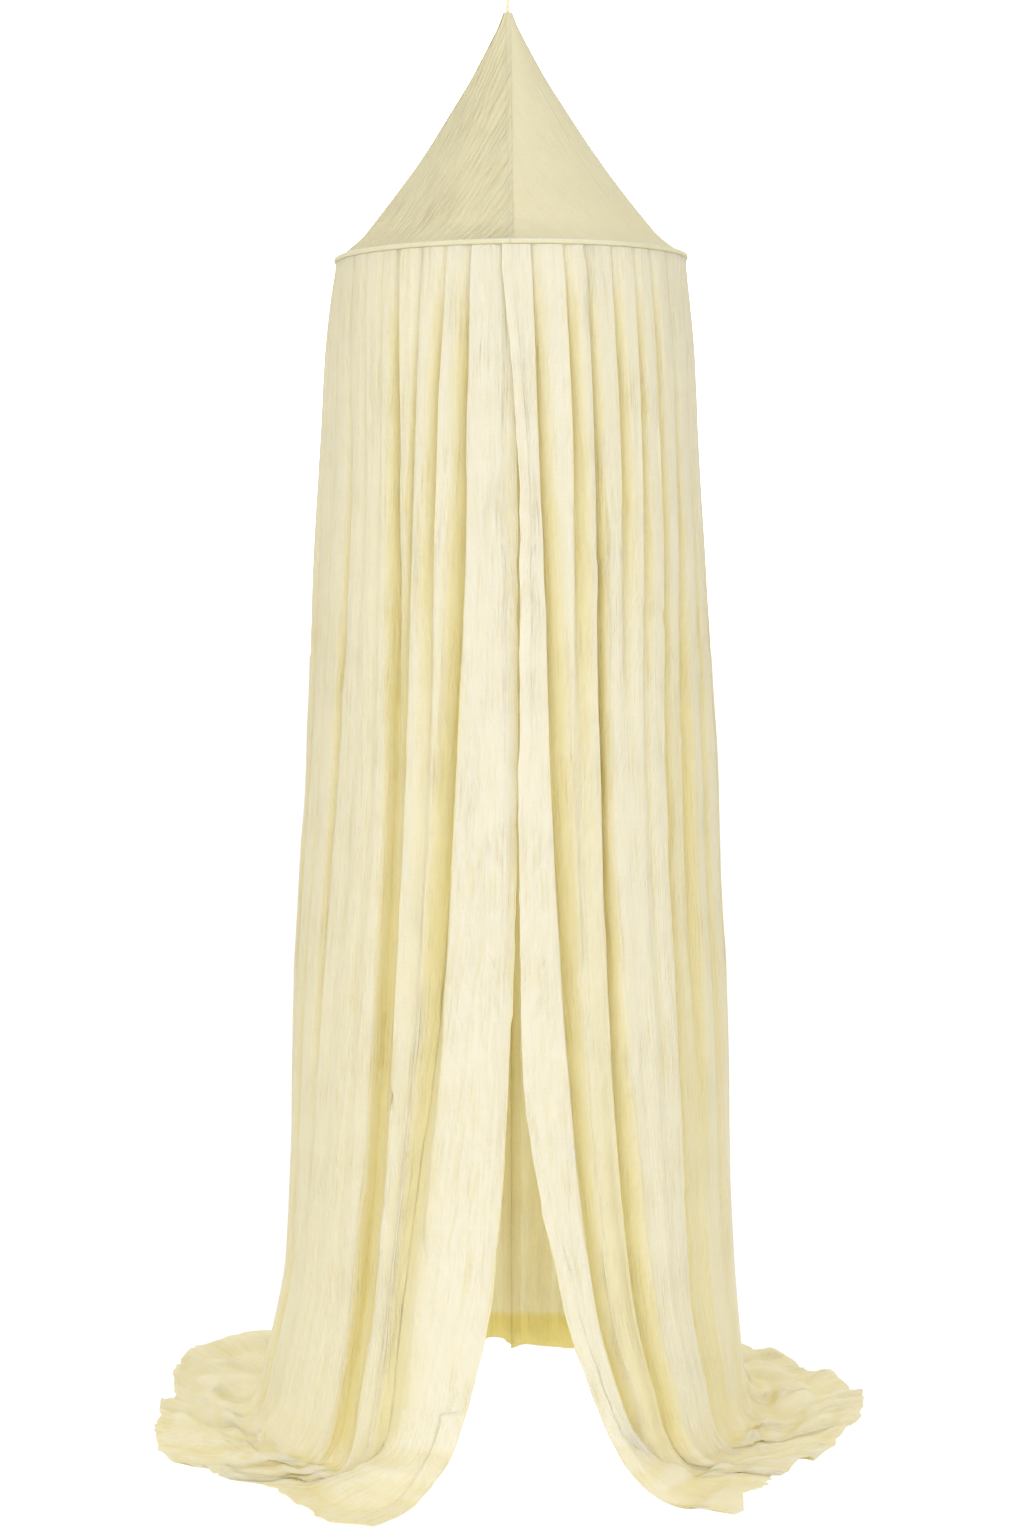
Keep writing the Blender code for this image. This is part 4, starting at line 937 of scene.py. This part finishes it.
curtain_muslin = muslin("washed_cotton_muslin", "f4f3ea", "ece6c9", "f3edd0", 0.48, (
    (2.6, 130, 1.5, 0.34), (6, 150, -2, 0.45), (11, 60, 22, -0.4)))
hem_paths = []
for name, folds, edges, creases, floor_creases, hem_line, patch_ridge, side, seed in (
    ("curtain_left", LEFT_FOLDS, LEFT_EDGES, LEFT_CREASES, LEFT_FLOOR_CREASES, LEFT_HEM, 0.3, -1, 101),
    ("curtain_right", RIGHT_FOLDS, RIGHT_EDGES, RIGHT_CREASES, RIGHT_FLOOR_CREASES, RIGHT_HEM, 0.8, 1, 202),
):
    grid, flat, lying, from_slit, from_hem, painted_shade = curtain_grids(folds, edges, hem_line, patch_ridge, side)
    wide, down = flat[..., 0], flat[..., 1]
    hung = (1 - np.clip(lying * 2.2, 0, 1)) * np.clip(down / 0.05, 0, 1)
    # The folds waver sideways on their way down. Each swell of noise here and below has a height in m,
    # and the numbers that divide are its size in m across the cloth and down it.
    across = unit(np.gradient(grid, axis=1))
    sway = 0.0034 * soft_noise(wide / 0.07, down / 0.15, seed + 20)
    sway += 0.0015 * soft_noise(wide / 0.03, down / 0.055, seed + 21)
    sway *= hung * np.clip(down / 0.20, 0, 1) * np.clip((wide[:, -1:] - wide) / 0.05, 0, 1)
    # The slit's hem was drawn up a little by its stitching, so its edge runs in and out.
    at_edge = np.exp(-from_slit / 0.016) * np.clip(down / 0.03, 0, 1)
    sway *= 1 - 0.7 * at_edge
    sway += at_edge * (0.0010 * soft_noise(down / 0.035, 2.2, seed + 22)
                       + 0.0008 * soft_noise(down / 0.017, 6.6, seed + 23))
    grid = grid + across * sway[..., None]
    normal = grid_normals(grid, side)
    patch = 0.35 + 0.65 * np.clip(0.5 + 1.4 * soft_noise(wide / 0.10, down / 0.22, seed + 1), 0, 1)
    lift = hung * (
        0.0013 * soft_noise(wide / 0.040, down / 0.42, seed + 2)
        + 0.0005 * patch * soft_noise(wide / 0.018, down / 0.26, seed + 3)
        + 0.0006 * patch * soft_noise((wide + 0.22 * down) / 0.036, down / 0.13, seed + 4)
    )
    # Puckers along the slit's hem, where the stitching holds the edge shorter than the cloth.
    near_slit = np.exp(-from_slit / 0.020)
    pucker = soft_noise((down + 0.7 * from_slit) / 0.017, 3.3 + from_slit / 0.03, seed + 5)
    lift += 0.0014 * near_slit * pucker * hung
    around = np.arctan2(side * (grid[..., 0] - HOOP_SHIFT_X), -grid[..., 1])
    points = [(half, tall, *[(math.radians(a) * FOLD_RADIUS, z) for a, z in line])
              for half, tall, *line in creases]
    lift += crease_lift(around * FOLD_RADIUS, grid[..., 2], points) * hung
    # Rumples in the cloth that lies on the floor: ends of folds, and soft ridges across them.
    laid = np.clip((lying - 0.12) / 0.3, 0, 1)
    rumple = np.maximum(soft_noise(wide / 0.060, (down + 0.3 * wide) / 0.10, seed + 6) + 0.1, 0) * 0.014
    rumple += np.maximum(soft_noise((wide + 0.5 * down) / 0.09, down / 0.040, seed + 7) + 0.1, 0) * 0.011
    rumple += np.maximum(soft_noise(wide / 0.026, down / 0.08, seed + 8), 0) * 0.0035
    # The foot's hem waves up and down as its cut edge is a little too long for the floor it covers.
    near_hem = np.exp(-from_hem / 0.030)
    frill = np.maximum(soft_noise(wide / 0.030, 9.1, seed + 9) + 0.15, 0) * 0.007 * near_hem
    lift += laid * (rumple * (1 - 0.6 * near_hem) + frill)
    lift += crease_lift(grid[..., 0], grid[..., 1], floor_creases) * laid
    outer = grid + normal * lift[..., None]
    # The edge itself runs a little in and out.
    outward = unit(np.gradient(grid, axis=0))
    foot = distance_along(grid[-1])
    ragged = soft_noise(foot / 0.028, 4.7, seed + 10) + 0.8 * soft_noise(foot / 0.012, 5.9, seed + 11)
    outer += outward * (0.0060 * near_hem * laid * ragged)[..., None]
    # On the floor each point moves most of the way to the mean of its neighbours, as soft cloth does.
    soft = (np.roll(outer, 1, axis=0) + np.roll(outer, -1, axis=0) + np.roll(outer, 1, axis=1)
            + np.roll(outer, -1, axis=1)) / 4
    soft[:, :6], soft[:, -2:], soft[-6:] = outer[:, :6], outer[:, -2:], outer[-6:]
    outer += (soft - outer) * (0.7 * laid)[..., None]
    normal = grid_normals(outer, side)
    normal[0, :, 2] = 0.0
    # Painted shade in hollows: narrow ones are painted a little fuller and darker, wide ones more, and on the
    # floor those across the folds too.
    hollow = np.clip(hollowness(outer, wide, normal, 0.012) / 0.0020, 0, 0.4)
    broad = np.clip(hollowness(outer, wide, normal, 0.035) / 0.0080, 0, 0.9)
    hollow = np.maximum(hollow, broad * (1 - 0.7 * laid))
    turned = [np.swapaxes(one, 0, 1) for one in (outer, down, normal)]
    hollow = np.maximum(hollow, np.clip(hollowness(*turned, 0.020).T / 0.0040, 0, 1.0) * laid)
    # Round the sides it is a little fuller as well, most on the left, where the brighter lamp would leave it
    # grey. This was set.
    # Painted shade round the sides, set by the angle from the front.
    painted_side_shade = smooth_step((around - 0.25) / 0.35)
    painted_shade = np.maximum(np.maximum(painted_shade, hollow), (0.25 if side < 0 else 0.12) * painted_side_shade * (1 - laid))
    hemmed = np.clip((HEM_WIDTH + HEM_TURN - np.minimum(from_slit, from_hem)) / HEM_TURN, 0, 1)
    thick = CLOTH_THICKNESS + HEM_THICKER * hemmed
    outer += normal * (HEM_THICKER * 0.5 * hemmed)[..., None]
    inner = outer - normal * thick[..., None]
    inner[..., 2] = np.maximum(inner[..., 2], 0.0)
    outer[..., 2] = np.maximum(outer[..., 2], inner[..., 2] + thick * np.maximum(np.abs(normal[..., 2]), 0.5))
    # Behind, the left width's edge is sewn over the right one's.
    for sheet_grid in (outer, inner):
        sheet_grid[:, -1, 0] = HOOP_SHIFT_X + (BACK_LAP if side < 0 else 0.0)
        if side < 0:
            sheet_grid[:, -1] += normal[:, -1] * BACK_LAP_PROUD
        sheet_grid[..., 2] += FLOOR_Z
    faces_out = (outer, inner) if side > 0 else (inner, outer)
    # The inner face is painted fuller and darker, most of all near the floor: painted shade, as it sees mostly
    # light that has come through the cloth.
    # The step near the floor was set.
    painted_inner_shade = INNER_PAINTED_SHADE + INNER_FOOT_PAINTED_SHADE * smooth_step((INNER_FOOT_HEIGHT - grid[..., 2]) / 0.008)
    painted_dip_shade = (painted_shade, painted_inner_shade) if side > 0 else (painted_inner_shade, painted_shade)
    curtain = cloth_mesh(name + "_cloth", *faces_out, flat, curtain_muslin, painted_dip_shade)
    dress(curtain, "curtain_cloth", name)
    above = normal * 0.00015
    hem_paths.append(outer[4:-3, 3] + above[4:-3, 3])
    hem_paths.append(outer[-4, 3:-1] + above[-4, 3:-1])

# ---------------------------------------------------------------------------------------------
# Stitching
# Lockstitch in cotton thread to match: one row on each felled seam of the top, one row below the rod in the
# sleeve, and one row on the inner edge of each hem.
STITCH_LENGTH = 0.0030
STITCH_PITCH = 0.0040
THREAD_RADIUS = 0.00022

# Mercerised cotton thread: finer and glossier than the cloth, with the twist of its plies.
thread = new_material("mercerised_cotton_thread")
tree = thread.node_tree
place = node(tree, "ShaderNodeTexCoord").outputs["Object"]
plies = node(tree, "ShaderNodeTexNoise", {"Vector": place, "Scale": 2500.0, "Detail": 1.0})
shade = node(tree, "ShaderNodeMix", {0: plies.outputs["Fac"], 6: hex_colour("eadfb4"), 7: hex_colour("fbf6e0")},
             data_type="RGBA")
twist = node(tree, "ShaderNodeBump", {"Height": plies.outputs["Fac"], "Strength": 0.4, "Distance": 0.0001})
glossy = node(tree, "ShaderNodeBsdfPrincipled", {"Base Color": shade.outputs[2], "Roughness": 0.6,
              "Normal": twist.outputs[0]})
node(tree, "ShaderNodeOutputMaterial", {"Surface": glossy.outputs[0]})


def stitch_tree():
    """Geometry nodes that lay one stitch after another along each line of points."""
    made = bpy.data.node_groups.new("stitch_row", "GeometryNodeTree")
    made.interface.new_socket("Geometry", in_out="INPUT", socket_type="NodeSocketGeometry")
    for label in ("Stitch pitch", "Stitch length", "Thread radius"):
        made.interface.new_socket(label, in_out="INPUT", socket_type="NodeSocketFloat")
    made.interface.new_socket("Thread", in_out="INPUT", socket_type="NodeSocketMaterial")
    made.interface.new_socket("Geometry", in_out="OUTPUT", socket_type="NodeSocketGeometry")
    given = node(made, "NodeGroupInput").outputs
    path = node(made, "GeometryNodeMeshToCurve", {0: given["Geometry"]})
    places = node(made, "GeometryNodeResampleCurve", {"Curve": path.outputs[0], "Length": given["Stitch pitch"]},
                  mode="LENGTH")
    along = node(made, "GeometryNodeInputTangent")
    turned = node(made, "FunctionNodeAlignEulerToVector", {"Vector": along.outputs[0]}, axis="Z")
    bead = node(made, "GeometryNodeMeshUVSphere", {"Segments": 6, "Rings": 4, "Radius": 1.0})
    half = node(made, "ShaderNodeMath", {0: given["Stitch length"], 1: 0.5}, operation="MULTIPLY")
    size = node(made, "ShaderNodeCombineXYZ", {0: given["Thread radius"], 1: given["Thread radius"],
                2: half.outputs[0]})
    laid = node(made, "GeometryNodeInstanceOnPoints", {"Points": places.outputs[0], "Instance": bead.outputs[0],
                "Rotation": turned.outputs[0], "Scale": size.outputs[0]})
    solid = node(made, "GeometryNodeRealizeInstances", {0: laid.outputs[0]})
    finished = node(made, "GeometryNodeSetMaterial", {"Geometry": solid.outputs[0], "Material": given["Thread"]})
    smooth = node(made, "GeometryNodeSetShadeSmooth", {"Geometry": finished.outputs[0]})
    node(made, "NodeGroupOutput", {0: smooth.outputs[0]})
    return made


stitches = stitch_tree()


def stitch_rows(name, paths):
    """One mesh of the stitches on these lines."""
    points = np.concatenate(paths)
    starts = np.cumsum([0] + [len(path) for path in paths])
    edges = [(k, k + 1) for a, b in zip(starts, starts[1:]) for k in range(a, b - 1)]
    guide_mesh = bpy.data.meshes.new(name + "_guide")
    guide_mesh.from_pydata(points.tolist(), edges, [])
    guide = add_object(name + "_guide", guide_mesh)
    layer = guide.modifiers.new("stitches", "NODES")
    layer.node_group = stitches
    values = {"Stitch pitch": STITCH_PITCH, "Stitch length": STITCH_LENGTH, "Thread radius": THREAD_RADIUS,
              "Thread": thread}
    for item in stitches.interface.items_tree:
        if item.in_out == "INPUT" and item.name in values:
            layer[item.identifier] = values[item.name]
    evaluated = guide.evaluated_get(bpy.context.evaluated_depsgraph_get())
    mesh = bpy.data.meshes.new_from_object(evaluated)
    mesh.name = name
    bpy.data.objects.remove(guide)
    return add_object(name, mesh)


ring = np.linspace(0.0, 2 * math.pi, 721)
stitched_at = np.full_like(ring, -SLEEVE_RADIUS - 0.7 * SLEEVE_TAIL)
sleeve_line = hoop_point(ring, HOOP_RING_RADIUS - 0.0058, stitched_at)
dress(stitch_rows("sleeve_stitches", [sleeve_line]), "sleeve_cloth")
dress(stitch_rows("top_seam_stitches", seam_paths), "top_cloth")
dress(stitch_rows("curtain_hem_stitches", hem_paths), "curtain_cloth")
